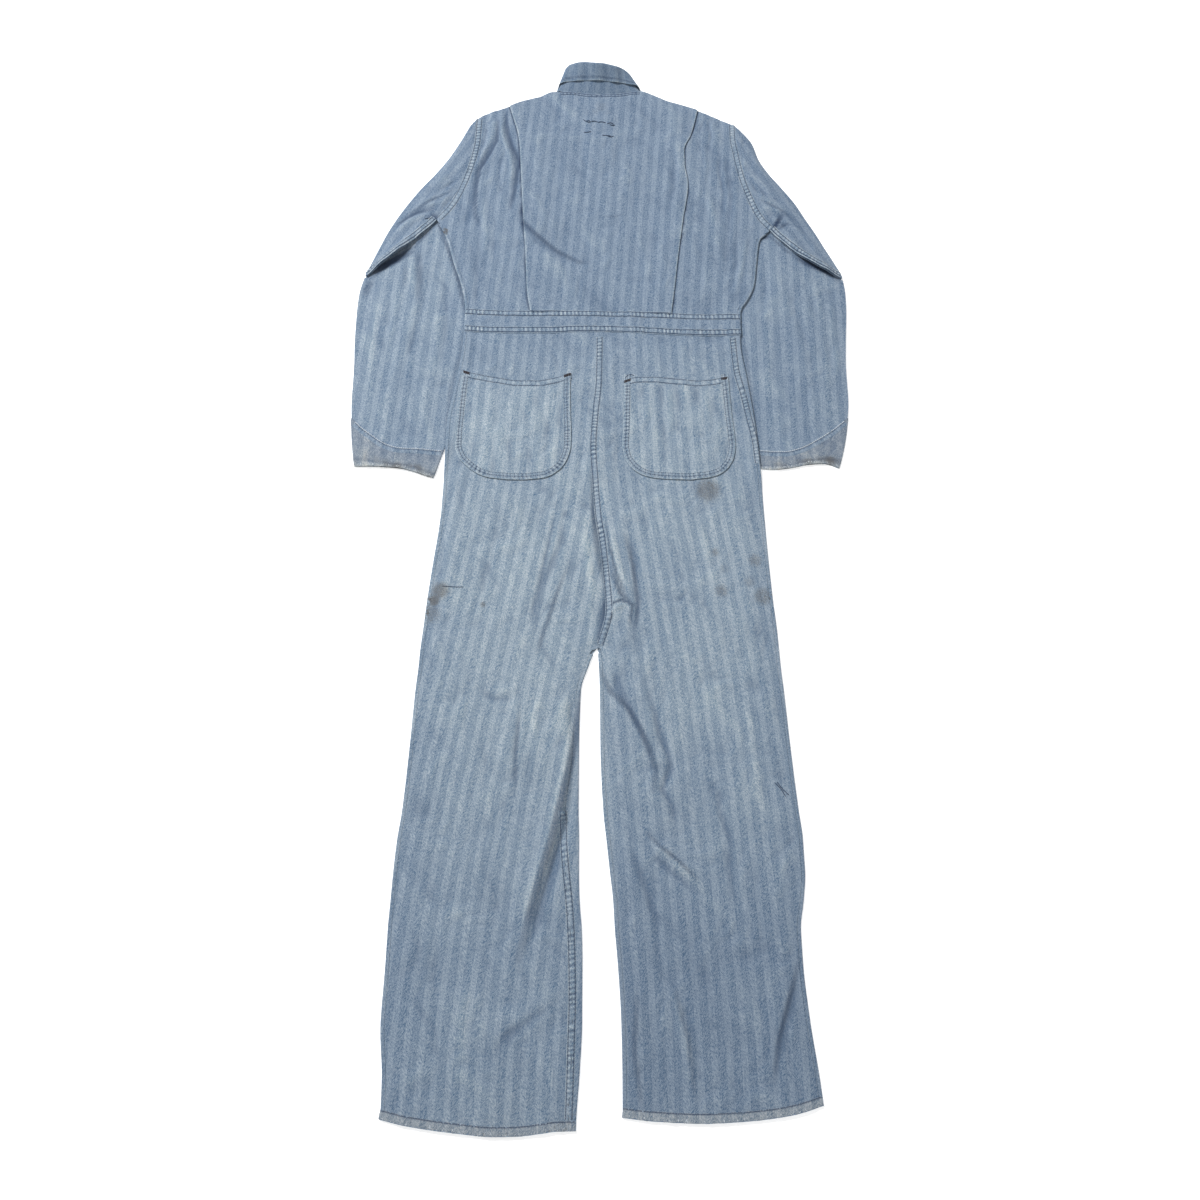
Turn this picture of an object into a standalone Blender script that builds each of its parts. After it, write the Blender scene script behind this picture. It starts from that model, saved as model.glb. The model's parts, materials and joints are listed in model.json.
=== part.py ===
"""Work coveralls of herringbone twill, laid flat on their front with the back up.

Every piece is a wall of cloth. X runs across the garment, with the wearer's left at -X, Y runs
from the hems to the collar with zero at the waistband, and Z is up from the surface.
"""

import bpy
import numpy as np

MM = 0.001  # every size and table below is in millimetres
CLOTH = 1.2  # one layer of twill
BAND = 1.6  # the doubled cloth of the waistband
GAP = 0.3  # between two pieces at a seam, and between layers that are pressed together
WAIST_GAP = 2 * GAP  # the waistband's edges are curved
LAYER = CLOTH + GAP  # rise from one layer's middle to the next one's
FLOOR = CLOTH / 2  # middle of a layer that lies on the surface
EDGE_AIR = 0.6  # extra space between front and back where the cloth turns round a side
TURN = LAYER + EDGE_AIR  # rise from the front's middle to the back's at a side
TURN_INSET = TURN / 2 + CLOTH / 2  # a turn's centre line lies this far inside the outline
SEAM_INSET = 5.0  # the side seams lie this far in from the outline, on the upper face
TURN_CELLS = 3  # facets round one turn of the cloth
SHARP_ANGLE = 50.0  # degrees: a wall's own edges are sharp, its folds are smooth

BODICE_PLATEAU = 5.4  # height of the middle of the back bodice, clear of its sides
LEG_PLATEAU = 4.3  # the same for the legs
HIP_Y = -260.0  # the plateau rises from the legs' height to the bodice's from here,
HIP_LENGTH = 200.0  # over this length
EDGE_SLOPE = 30.0  # the back rises from its sides to the plateau over this width
SHOULDER_SLOPE = 12.0  # and closes on the front over this width at the shoulder seam

TWILL_BLUE = (0.265, 0.330, 0.420)
CUFF_BLUE = (0.250, 0.300, 0.370)
COLLAR_BLUE = (0.170, 0.230, 0.320)
BUTTON_GREY = (0.200, 0.210, 0.230)
CLOTH_ROUGHNESS = 0.92
BUTTON_ROUGHNESS = 0.45

# Outline of the bodice: its armholes above the armpits, its sides below them.
# y, left x, right x
BODICE_SIDES = (
    (-30, -205, 212), (15, -205, 214), (36, -207, 226), (62, -213, 237),
    (104, -227, 243), (146, -239, 250), (164, -247, 266), (184, -257, 252),
    (214, -243, 236), (233, -231, 231), (279, -212, 223), (323, -203, 218),
    (392, -201, 217),
)
SIDE_NAME = {-1: "left", 1: "right"}
SIDE_COLUMN = {-1: 1, 1: 2}  # where a table has one column for each side
ARMPIT_Y = {-1: 184, 1: 164}
SEAM_START = 12.0  # the side seams move in from the outline over this length below the armpits
BODICE_ROWS = (5, 7)  # cells below the armpits, cells above them
LEG_ROWS = (12, 11)  # cells below the crotch, cells above it
SLEEVE_ROWS = (6, 7)  # cells of the forearm, cells of the folded upper arm
# x, y along the shoulder and neck seams, from the left shoulder tip to the right one
BODICE_TOP = (
    (-201, 387), (-186, 398), (-157, 410), (-128, 423), (-100, 434), (-80, 443), (-48, 445),
    (-11, 440), (26, 441), (64, 446), (80, 441), (113, 424), (147, 410), (173, 398), (217, 374),
)
FRONT_NECK_DROP = 74  # how far the front neckline dips below the back one
NECK_HALF = 76
NECK_ROUNDNESS = 2.4  # 2 would be an ellipse, and more is squarer
# x, y top of the waistband, y bottom of the waistband
WAISTBAND_EDGES = (
    (-208, 17, -21), (-152, 14, -24), (-91, 13, -24), (-10, 13, -22), (61, 11, -24),
    (107, 9, -27), (151, 7, -29), (216, 7, -28),
)
# y, left x, right x of the lines where the centre back folds over the side backs
PLEATS = (
    (14, -106, 109), (51, -112, 114), (117, -116, 122), (182, -121, 131), (256, -126, 141),
    (290, -128, 137), (320, -130, 137), (353, -134, 149), (388, -143, 158), (430, -154, 166),
)
PLEAT_DEPTH = 15.0
PLEAT_SETTLE = 0.9  # share of the pleat's height that the centre back loses away from it,
PLEAT_SLOPE = 45.0  # over this width

# y, left leg's outer x, its inner x, right leg's inner x, its outer x
LEG_SIDES = (
    (-1100, -253, -28, 26, 260), (-1070, -253, -27, 26, 259), (-1031, -254, -24, 26, 256),
    (-968, -260, -21, 25, 249), (-902, -259, -21, 21, 245), (-868, -259, -22, 18, 245),
    (-833, -258, -25, 16, 251), (-798, -257, -26, 12, 255), (-762, -255, -26, 8, 255),
    (-725, -251, -27, 4, 252), (-649, -247, -27, 0.5, 247), (-570, -244, -25, -0.5, 243),
    (-540, -242, -16, -1.5, 241), (-513, -241, -4.2, -3.8, 240), (-488, -239, 40, -50, 239),
    (-445, -236, 110, -120, 236), (-402, -232, 180, -180, 234), (-312, -224, 200, -220, 231),
    (-257, -223, 220, -230, 230), (-182, -223, 220, -230, 226), (-102, -212, 220, -220, 218),
    (-42, -206, 220, -220, 211), (-10, -205, 220, -220, 212),
)
CROTCH_Y = -513
# y, x of the centre seam of the back
CENTRE_SEAM = (
    (-520, -4), (-459, 12), (-416, 9), (-358, 3), (-318, -3), (-266, -7), (-213, -10),
    (-159, -7), (-103, -2), (-26, -1), (0, -1),
)
# y, left inseam, right inseam, right side seam: how far each seam lies in from its outline
SEAM_INSETS = (
    (-1100, 8, 5, 5), (-1040, 10, 5, 5), (-947, 12, 5, 5), (-846, 15, 5, 5), (-743, 18, 5, 5),
    (-640, 8, 5, 5), (-513, 5, 5, 5), (-230, 5, 5, 5), (-132, 5, 5, 7), (-36, 5, 5, 13),
    (0, 5, 5, 13),
)
# x, y of the hem
LEFT_HEM = (
    (-260, -1071), (-220, -1079), (-174, -1085), (-121, -1089.5), (-92, -1089), (-66, -1086),
    (-46, -1084), (-24, -1084),
)
RIGHT_HEM = ((20, -1070), (65, -1074), (116, -1076), (168, -1074), (219, -1068), (262, -1057))
HEMS = {-1: LEFT_HEM, 1: RIGHT_HEM}
FRONT_CENTRE_LEAN = -4.0  # the centre seam of the front runs this far over by the crotch,
CROTCH_LEAN_START = 440.0  # from this far below the waist,
CROTCH_LEAN_LENGTH = 60.0  # over this length

# Sleeves, folded back under themselves along the outline above the elbow.
# y, outer x, inner x. The inner fold is hidden under the body.
LEFT_SLEEVE = (
    (-270, -346, -241), (-225, -355, -228), (-190, -360, -218), (-135, -365, -209),
    (-85, -366, -204), (-33, -369, -200), (20, -370, -198), (47, -369, -198), (79, -363, -198),
    (101, -355, -197), (129, -345, -197), (158, -334, -196), (186, -321, -196),
    (215, -305, -196), (245, -286, -196), (275, -264, -196), (305, -245, -196),
    (335, -230, -197), (374, -213, -200),
)
RIGHT_SLEEVE = (
    (-270, 334, 222), (-220, 350, 216), (-185, 358, 211), (-135, 365, 206), (-85, 366, 201),
    (-33, 370, 199), (20, 375, 200), (47, 376, 203), (75, 374, 205), (101, 364, 207),
    (129, 351, 209), (158, 338, 210), (186, 324, 210), (215, 310, 210), (245, 291, 210),
    (275, 271, 210), (305, 256, 210), (335, 248, 211), (364, 229, 213),
)
SLEEVES = {"left": LEFT_SLEEVE, "right": RIGHT_SLEEVE}
SLEEVE_TOP_Y = {"left": 374, "right": 364}
ELBOW_Y = {"left": 80, "right": 74}
SEAM_SAG = {"left": 6, "right": 14}  # how far the underarm seam bows down from a straight line
# x, y of the curved seam between sleeve and cuff, then of the cuff's end
CUFF_SEAM = {
    "left": (
        (-362, -166), (-346, -182), (-329, -195), (-311, -207), (-289, -214), (-267, -215),
        (-225, -218), (-200, -219),
    ),
    "right": (
        (200, -216), (223, -217), (266, -220), (288, -215), (319, -198), (342, -182), (362, -165),
    ),
}
CUFF_END = {
    "left": (
        (-352, -243), (-330, -243), (-308, -244), (-287, -246), (-265, -252), (-243, -260),
        (-233, -262),
    ),
    "right": ((216, -246), (251, -248), (272, -246), (301, -240), (323, -239), (345, -247)),
}
CUFF_END_Y = {"left": -258, "right": -246}
CUFF_SIDE_Y = -180.0  # about where the cuff's curved seam meets the outline
SLEEVE_AIR = 1.0  # how far the forearm's upper layer stands off its lower one, clear of the body
SLEEVE_PRESSED = 14.0  # it stays pressed this far beyond the body's edge,
SLEEVE_SLOPE = 24.0  # and then rises over this width,
SLEEVE_RISE_SHARE = 0.25  # from the outline over this share of the arm's width
SLEEVE_FREE_LENGTH = 120.0  # and down from the shoulder over this length
UNDER_TURN = TURN_INSET - CLOTH  # the hidden fold bulges this far past its line
UNDER_CLEAR = 5.0  # the body stays up this far past the sleeve's inner fold,
UNDER_RAMP = 16.0  # and then comes down over this width
UNDER_END = 45.0  # and over this length past the end of the cuff

# Patch pockets. y, left pocket's left x, its right x, right pocket's left x, its right x
POCKET_SIDES = (
    (-266, -128, -108, 106, 128), (-263, -158, -80, 74, 156), (-257, -174, -66, 57, 172),
    (-246, -189, -54, 44, 184), (-230, -203, -46, 35, 192), (-211, -209, -42, 32, 195),
    (-190, -209, -42, 33, 194), (-164, -208, -43, 34, 192), (-123, -206, -44, 35, 190),
    (-88, -203, -43, 36, 189),
)
# x, y of the pocket mouths
LEFT_MOUTH = ((-205, -88), (-185, -94), (-152, -101), (-119, -106), (-93, -106), (-66, -101), (-41, -92))
RIGHT_MOUTH = ((34, -106), (56, -100), (79, -100), (111, -103), (144, -106), (167, -104), (191, -98))
POCKET_BELLY = 0.8  # the pocket's cloth stands off the leg by this much more in the middle
POCKET_LEVELS = (0, 0.02, 0.06, 0.13, 0.24, 0.4, 0.65, 1)  # its rows, closest at the round bottom
POCKET_BELLY_LEVEL = 1 / 3  # share of the way up at which the belly is full

# Placket over the centre front: it carries the buttons, so it lies a button's height up.
PLACKET_HALF = 16.0
STRIP_CLEAR = 1.5  # the fronts stay up this far past the strip's edge
STRIP_RAMP = 17.0
PLACKET_TOP = 366
PLACKET_LOW = 20
FLY_TOP = -31
FLY_END = -232
STRIP_ROW = 10.0  # least length of a strip's end cell
WAIST_RAMP = 30.0  # the fronts come down to the waistband over this length,
WAIST_EDGE = 12.0  # to its edges
BUTTON_YS = (330, 262, 194, 126, -88, -136, -186)
BUTTON_RADIUS = 8.0
BUTTON_SIDES = 12

# The collar lies under the front and stands up behind the neck. The leaves keep the front up.
LEAF_REACH = 125.0
LEAF_RAMP = 40.0
NECK_Y = 440.0
NECK_CLEAR = 40.0  # the placket's room ends this far below the neck seam

# Largest folds of the back. height, width on its left, width on its right, then x, y down it
FOLDS = (
    (2.2, 34, 16, (
        (-30, -540), (-45, -600), (-41, -672), (-55, -737), (-73, -793), (-90, -854), (-102, -905),
    )),
    (1.4, 22, 30, ((-206, -240), (-215, -315), (-221, -407), (-232, -520))),
    (1.3, 26, 18, ((26, -322), (39, -394), (42, -450), (33, -501), (49, -545), (50, -590))),
    (1.4, 18, 26, ((-1, -524), (8, -560), (26, -592), (44, -630), (52, -668))),
    (1.5, 24, 20, ((49, -544), (64, -627), (76, -668), (66, -700), (76, -722), (84, -760))),
    (1.2, 26, 30, ((24, -747), (34, -790), (55, -853), (62, -905))),
    (1.2, 20, 26, ((60, -758), (86, -784), (124, -814))),
    (1.5, 30, 22, ((241, -879), (224, -936), (205, -991), (194, -1034))),
    (1.0, 26, 26, ((-42, -933), (-68, -950), (-109, -974), (-124, -998))),
    (1.0, 24, 24, ((24, -908), (31, -943), (30, -1002), (41, -1052))),
    (1.0, 26, 20, ((-111, -587), (-118, -652), (-117, -715))),
    (1.1, 22, 26, ((-144, 218), (-121, 180), (-99, 149), (-68, 125), (-40, 110))),
    (1.0, 22, 26, ((-166, 370), (-168, 334), (-190, 298), (-199, 262), (-196, 200))),
    (1.0, 22, 26, ((206, 345), (210, 288), (213, 222), (207, 165))),
)
# The same for the forearms, whose upper face shows
SLEEVE_FOLDS = (
    (1.3, 22, 26, ((-280, 120), (-277, 60), (-290, -20), (-303, -85), (-310, -160))),
    (1.2, 24, 24, ((266, 88), (284, 30), (302, -60), (306, -120))),
    (1.0, 22, 24, ((302, 86), (322, -5), (334, -60))),
)

# Sections of the collar, from the left leaf's front edge round the back of the neck.
# station, seam x, y, z, stand dx, dy, dz, width of its turn, fall dx, dy, dz
COLLAR = (
    (0, -34.5, 375.5, 2.1, 6, 19, 0, 1.5, -14, -38, 0),
    (1, -48, 385.2, 2.1, 8, 18, 0, 1.5, -26, -34, 0),
    (2, -62, 399.6, 2.1, 10, 16, 0, 1.5, -32, -24, 0),
    (3, -71.2, 419.4, 2.1, 10, 16, 0.1, 1.6, -28, -14, 0),
    (4, -74.3, 443, 2.4, 12.4, 15, 0.1, 2, -12, -13, 0),
    (5, -67, 446.4, 4.9, 11.2, 31, 9.2, 3, -8, -21, -6),
    (6, -60, 446, 5.3, 13.2, 37.7, 13.3, 4.2, -5.6, -23.5, -10.3),
    (7, -37, 445.2, 5.3, 8.4, 37.8, 18.5, 4.6, -1.5, -22.4, -13),
    (8, -10, 441.4, 5.3, 6.5, 37.8, 20.5, 4.6, 0.4, -19.5, -14),
    (9, 22, 442, 5.3, -1.8, 35, 17.6, 4.6, 1.7, -19, -12.6),
    (10, 50, 445.8, 5.3, -12.1, 29.1, 11.2, 4.2, 3.5, -18.5, -9),
    (11, 60, 446, 4.9, -10.3, 21.6, 6.1, 3, 9, -15, -3.4),
    (12, 71, 442.5, 2.4, -14, 13, 0.1, 2, 14, -12, 0),
    (13, 71.2, 419.2, 2.1, -10, 16, 0.1, 1.6, 27, -14, 0),
    (14, 62, 400.8, 2.1, -10, 16, 0, 1.5, 32, -24, 0),
    (15, 48, 385, 2.1, -8, 18, 0, 1.5, 26, -34, 0),
    (16, 34.5, 375, 2.1, -6, 19, 0, 1.5, 14, -38, 0),
)
COLLAR_TURNS = (4, 12)  # stations between which it stands behind the neck, and has two rows each
COLLAR_LEVELS = (0, 0.33, 0.67, 1)  # cells of the stand from its seam up, and of the fall down
NECK_LINES = (48.0, 62.0, 72.0, 77.0)  # columns of the front's cloth that end on its neckline

FOLD_END_SHARE = 0.03  # a fold keeps some of its height this near its ends,
FOLD_TAPER = 0.6  # and the lower this is, the longer it stays near its full height
FILL_PASSES = 14  # rounds in which a panel's rows and columns settle on each other


def smooth(rows, column, at):
    """Reads one column of a table at any place in its first column, on a curve that doesn't overshoot."""
    places = np.array([row[0] for row in rows], float)
    values = np.array([row[column] for row in rows], float)
    steps = np.diff(places)
    slopes = np.diff(values) / steps
    before, after = slopes[:-1], slopes[1:]
    same_way = before * after > 0
    inner = np.where(same_way, 2 * before * after / np.where(same_way, before + after, 1), 0)
    tangents = np.concatenate([slopes[:1], inner, slopes[-1:]])
    at = np.clip(at, places[0], places[-1])
    index = np.clip(np.searchsorted(places, at, side="right") - 1, 0, len(steps) - 1)
    step = steps[index]
    t = (at - places[index]) / step
    start = values[index] + step * tangents[index] * t * (1 - t) ** 2
    rise = (values[index + 1] - values[index]) * t * t * (3 - 2 * t)
    return start + rise - step * tangents[index + 1] * t * t * (1 - t)


def ease(t):
    """Zero to one, level at both ends."""
    t = np.clip(t, 0, 1)
    return t * t * (3 - 2 * t)


def fold_height(x, y, folds):
    """Sum of the ridges in a table of folds. Each is highest in the middle of its length."""
    total = np.zeros(np.shape(x))
    for height, left_width, right_width, route in folds:
        points = np.array(route, float)
        starts, runs = points[:-1], np.diff(points, axis=0)
        lengths = np.hypot(runs[:, 0], runs[:, 1])
        before = np.concatenate([[0], np.cumsum(lengths)[:-1]])
        best = np.full(np.shape(x), np.inf)
        share = np.zeros(np.shape(x))
        side = np.zeros(np.shape(x))
        for start, run, length, done in zip(starts, runs, lengths, before):
            along = np.clip(((x - start[0]) * run[0] + (y - start[1]) * run[1]) / length**2, 0, 1)
            dx = x - start[0] - along * run[0]
            dy = y - start[1] - along * run[1]
            far = np.hypot(dx, dy)
            nearer = far < best
            best = np.where(nearer, far, best)
            share = np.where(nearer, (done + along * length) / lengths.sum(), share)
            side = np.where(nearer, run[0] * dy - run[1] * dx, side)
        # the routes run down the garment, so a positive side is on the route's right in plan
        width = np.where(side > 0, right_width, left_width)
        share = np.clip(share, FOLD_END_SHARE, 1 - FOLD_END_SHARE)
        total += height * (1 - ease(best / width)) * np.sin(np.pi * share) ** FOLD_TAPER
    return total


def sleeve_rise(side, x, y):
    """How far a forearm's upper layer stands above its pressed height."""
    outer = smooth(SLEEVES[side], 1, y)
    inner = smooth(SLEEVES[side], 2, y)
    share = np.clip((x - outer) / (inner - outer), 0, 1)
    beyond = -edge_distance(x, y)
    free = ease(share / SLEEVE_RISE_SHARE) * ease((beyond - SLEEVE_PRESSED) / SLEEVE_SLOPE)
    free = free * ease((SLEEVE_TOP_Y[side] - y) / SLEEVE_FREE_LENGTH)
    return free * (SLEEVE_AIR + fold_height(x, y, SLEEVE_FOLDS))


def under_lift(x, y):
    """How far the front of the body is lifted by the sleeves that are folded under it."""
    lift = np.zeros(np.shape(x))
    for side, sign in (("left", -1), ("right", 1)):
        inside = sign * (x - smooth(SLEEVES[side], 2, y)) + UNDER_CLEAR
        end = CUFF_END_Y[side] - UNDER_CLEAR
        ramp = ease(1 + inside / UNDER_RAMP) * ease(1 + (y - end) / UNDER_END)
        lift = lift + ramp * 2 * LAYER
    return lift


def leaf_lift(x, y):
    """How far the front is lifted by the collar's leaves, which lie folded under it."""
    return LAYER * ease((LEAF_REACH + LEAF_RAMP - np.hypot(x, y - NECK_Y)) / LEAF_RAMP)


def button_room(y, start):
    """How far the placket stands off the surface for its buttons, away from the waistband."""
    return LAYER * ease((np.abs(y) - start) / WAIST_RAMP)


def front_height(x, y):
    """Middle of the cloth of the front panels, which lie on the surface, the sleeves or the placket."""
    strip = ease(1 - (np.abs(x) - PLACKET_HALF - STRIP_CLEAR) / STRIP_RAMP)
    strip = strip * ease(1 + (y - FLY_END + STRIP_RAMP) / UNDER_END)
    strip = strip * ease((NECK_Y - NECK_CLEAR - y) / STRIP_RAMP)
    return FLOOR + under_lift(x, y) + leaf_lift(x, y) + strip * (LAYER + button_room(y, WAIST_EDGE))


def edge_distance(x, y):
    """Distance in from the outline of the body or of the leg."""
    bodice = np.minimum(x - smooth(BODICE_SIDES, 1, y), smooth(BODICE_SIDES, 2, y) - x)
    left = np.minimum(x - smooth(LEG_SIDES, 1, y), smooth(LEG_SIDES, 2, y) - x)
    right = np.minimum(x - smooth(LEG_SIDES, 3, y), smooth(LEG_SIDES, 4, y) - x)
    centre = smooth(CENTRE_SEAM, 1, y)
    return np.where(y > 0, bodice, np.where(x < centre, left, right))


def back_height(x, y):
    """Middle of the cloth of the back panels, which rise from their edges to a low plateau."""
    low = front_height(x, y) + TURN
    plateau = LEG_PLATEAU + (BODICE_PLATEAU - LEG_PLATEAU) * ease((y - HIP_Y) / HIP_LENGTH)
    inside = ease(edge_distance(x, y) / EDGE_SLOPE)
    closing = EDGE_AIR * ease(1 - (smooth(BODICE_TOP, 1, x) - y) / SHOULDER_SLOPE)
    return low + inside * (np.maximum(plateau - low, 0) + fold_height(x, y, FOLDS)) - closing


def fill(lines, cells, low, high, levels):
    """Plan points of a panel, in columns between lines that run up it, from one end to the other.

    A line is a function that gives x for a y, and an end gives y for an x.
    """
    marks = [0.0]
    for index, count in enumerate(cells):
        marks += [index + (step + 1) / count for step in range(count)]
    marks = np.array(marks)
    first = np.minimum(marks.astype(int), len(cells) - 1)
    share = marks - first
    rows = np.arange(len(levels(np.zeros((1, 1)))))
    y = np.zeros((len(rows), len(marks)))
    for _ in range(FILL_PASSES):
        across = np.stack([line(y) + 0 * y for line in lines])
        picks = np.take_along_axis(across, first[None, None, :] + np.zeros((1, len(rows), 1), int), 0)[0]
        nexts = np.take_along_axis(across, first[None, None, :] + np.ones((1, len(rows), 1), int), 0)[0]
        x = picks * (1 - share) + nexts * share
        y = low(x) + (high(x) - low(x)) * levels(x)
    return x, y


def even_levels(shares):
    """Rows at the same shares of the way up, wherever they are across."""
    return lambda x: np.asarray(shares, float)[:, None] + 0 * x[:1]


def column(rows, index, shift=0.0):
    """One column of a table as a function, moved by a shift."""
    return lambda at: smooth(rows, index, at) + shift


def constant(value):
    """The same value wherever it is read."""
    return lambda at: 0 * at + value


def stack(x, y, z):
    """Points from plan places and heights."""
    return np.stack([x, y, z + 0 * x], axis=-1)


def unit(vectors):
    """Vectors of length one along the given ones."""
    return vectors / np.linalg.norm(vectors, axis=-1, keepdims=True)


def turn(start, end, outward):
    """Columns of points round a turn of the cloth, from one layer's edge to the other layer's edge."""
    angles = np.linspace(0, np.pi, TURN_CELLS + 1)[1:-1]
    middle = (start + end) / 2
    half = (start - end) / 2
    reach = np.abs(half[..., 2:3])
    columns = [middle + half * np.cos(a) + outward * reach * np.sin(a) for a in angles]
    return np.stack(columns, axis=-2)


def wall(name, points, thickness, colour, present=None, ring=False):
    """A closed solid wall of even thickness about a grid of points.

    A ring joins its last column to its first. Cells with an absent point are left out.
    """
    rows, columns = points.shape[:2]
    if present is None:
        present = np.ones((rows, columns), bool)
    quads = []
    for r in range(rows - 1):
        for c in range(columns if ring else columns - 1):
            d = (c + 1) % columns
            if present[r, c] and present[r, d] and present[r + 1, c] and present[r + 1, d]:
                low, high = r * columns, (r + 1) * columns
                quads.append((low + c, low + d, high + d, high + c))
    quads = np.array(quads)
    flat = points.reshape(-1, 3)
    normals = np.zeros_like(flat)
    across = np.cross(flat[quads[:, 2]] - flat[quads[:, 0]], flat[quads[:, 3]] - flat[quads[:, 1]])
    unit = across / np.maximum(np.linalg.norm(across, axis=1), 1e-9)[:, None]
    for corner in range(4):
        np.add.at(normals, quads[:, corner], unit)
    used = np.unique(quads)
    renumber = np.full(len(flat), -1)
    renumber[used] = np.arange(len(used))
    unit_normals = normals[used] / np.linalg.norm(normals[used], axis=1)[:, None]
    upper = flat[used] + unit_normals * thickness / 2
    lower = flat[used] - unit_normals * thickness / 2
    quads = renumber[quads]
    count = len(used)
    faces = [tuple(quad) for quad in quads] + [tuple(quad[::-1] + count) for quad in quads]
    sides = {}
    for quad in quads:
        for a, b in zip(quad, np.roll(quad, -1)):
            sides[(a, b)] = True
    faces += [(b, a, a + count, b + count) for a, b in sides if (b, a) not in sides]
    mesh = bpy.data.meshes.new(name)
    mesh.from_pydata(np.concatenate([upper, lower]) * MM, [], [tuple(map(int, face)) for face in faces])
    mesh.shade_smooth()
    mesh.set_sharp_from_angle(angle=np.radians(SHARP_ANGLE))
    place(name, mesh, colour, CLOTH_ROUGHNESS)


def place(name, mesh, colour, roughness):
    """Puts a mesh in the scene as an object with a material of its own."""
    piece = bpy.data.objects.new(name, mesh)
    bpy.context.scene.collection.objects.link(piece)
    material = bpy.data.materials.new(name)
    material.use_nodes = True
    shader = material.node_tree.nodes["Principled BSDF"]
    shader.inputs["Base Color"].default_value = (*colour, 1)
    shader.inputs["Roughness"].default_value = roughness
    piece.data.materials.append(material)


def rows_through(below, above, share, x):
    """Rows of a panel that meet its neighbour's at one height: some below it, some above."""
    rows = np.arange(below + above + 1)[:, None]
    middle = share(x[:1])
    return np.where(rows <= below, rows / below * middle, middle + (rows - below) / above * (1 - middle))


def armpit_share(x):
    """How far up the bodice the armpits lie. The left one lies higher."""
    left_low, right_low = WAISTBAND_EDGES[0][1], WAISTBAND_EDGES[-1][1]
    left_top, right_top = BODICE_TOP[0][1], BODICE_TOP[-1][1]
    left = (ARMPIT_Y[-1] - left_low) / (left_top - left_low)
    right = (ARMPIT_Y[1] - right_low) / (right_top - right_low)
    across = np.clip((x - BODICE_TOP[0][0]) / (BODICE_TOP[-1][0] - BODICE_TOP[0][0]), 0, 1)
    return left + (right - left) * across


def bodice_levels(x):
    """Rows of the bodice, which meet at the armpits on its back, fronts and sleeves."""
    return rows_through(*BODICE_ROWS, armpit_share, x)


def leg_levels(sign):
    """The same for a leg, whose rows meet the other leg's at the crotch and above it."""
    low = column(HEMS[sign], 1)
    high = column(WAISTBAND_EDGES, 2, -WAIST_GAP)
    share = lambda x: (CROTCH_Y - low(x)) / (high(x) - low(x))
    return lambda x: rows_through(*LEG_ROWS, share, x)


def body_side(sign, y):
    """Edge of the back bodice: the armhole above the armpit, the side seam below it."""
    inset = GAP / 2 + SEAM_INSET * ease((ARMPIT_Y[sign] - y) / SEAM_START)
    return smooth(BODICE_SIDES, SIDE_COLUMN[sign], y) - sign * inset


def make_back_bodice():
    """One cut of cloth: each side back turns under the centre back and out again as a pleat."""
    low = column(WAISTBAND_EDGES, 1, WAIST_GAP)
    high = column(BODICE_TOP, 1)
    halves = {}
    edges = {}
    for sign in (-1, 1):
        pleat = column(PLEATS, SIDE_COLUMN[sign])
        side = lambda y: body_side(sign, y)
        rise = lambda y: side(y) - sign * EDGE_SLOPE
        hidden = lambda y: pleat(y) - sign * PLEAT_DEPTH
        edge = column(PLEATS, SIDE_COLUMN[sign], -sign * LAYER)
        x, y = fill((side, rise, hidden), (2, 3), low, high, bodice_levels)
        under = stack(x, y, back_height(x, y))
        x, y = fill((hidden, edge), (1,), low, high, bodice_levels)
        tuck = stack(x, y, back_height(x, y) + LAYER)
        over = tuck[:, -1:] + np.array([0, 0, LAYER])
        inward = np.array([-sign, 0, 0])
        first = turn(under[:, -1], tuck[:, 0], inward)
        second = turn(tuck[:, -1], over[:, 0], -inward)
        halves[sign] = np.concatenate([under, first, tuck, second], axis=1)
        edges[sign] = edge
    flat_left = lambda y: edges[-1](y) + PLEAT_DEPTH + LAYER
    flat_right = lambda y: edges[1](y) - PLEAT_DEPTH - LAYER
    x, y = fill((edges[-1], flat_left, flat_right, edges[1]), (1, 9, 1), low, high, bodice_levels)
    near = np.minimum(x - edges[-1](y), edges[1](y) - x)
    settle = 1 - PLEAT_SETTLE * ease((near - PLEAT_DEPTH - LAYER) / PLEAT_SLOPE)
    centre = stack(x, y, back_height(x, y) + 2 * LAYER * settle)
    grid = np.concatenate([halves[-1], centre, halves[1][:, ::-1]], axis=1)
    wall("back_bodice", grid, CLOTH, TWILL_BLUE)


def front_top(x):
    """Shoulder seams of the front, with its neckline dipping between them."""
    dip = np.sqrt(np.clip(1 - (np.abs(x) / NECK_HALF) ** NECK_ROUNDNESS, 0, 1))
    return smooth(BODICE_TOP, 1, x) - FRONT_NECK_DROP * dip


def lifted_edge(sign, outer):
    """Line up to which the sleeve below keeps the front of the body up."""
    inner = column(SLEEVES[SIDE_NAME[sign]], 2, -sign * UNDER_CLEAR)
    least = 2.5 * UNDER_CLEAR
    return lambda y: sign * np.minimum(sign * inner(y), sign * outer(y) - least)


def front_lines(sign, outer, inset, inner, between=()):
    """Lines up a front panel: its outline, both ends of each slope in it, and its centre edge."""
    lifted = lifted_edge(sign, outer)
    flat = PLACKET_HALF + STRIP_CLEAR
    return (
        lambda y: outer(y) - sign * inset,
        lifted,
        lambda y: lifted(y) - sign * UNDER_RAMP,
        *between,
        lambda y: inner(y) + sign * (flat + STRIP_RAMP),
        lambda y: inner(y) + sign * flat,
        inner,
    )


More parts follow.
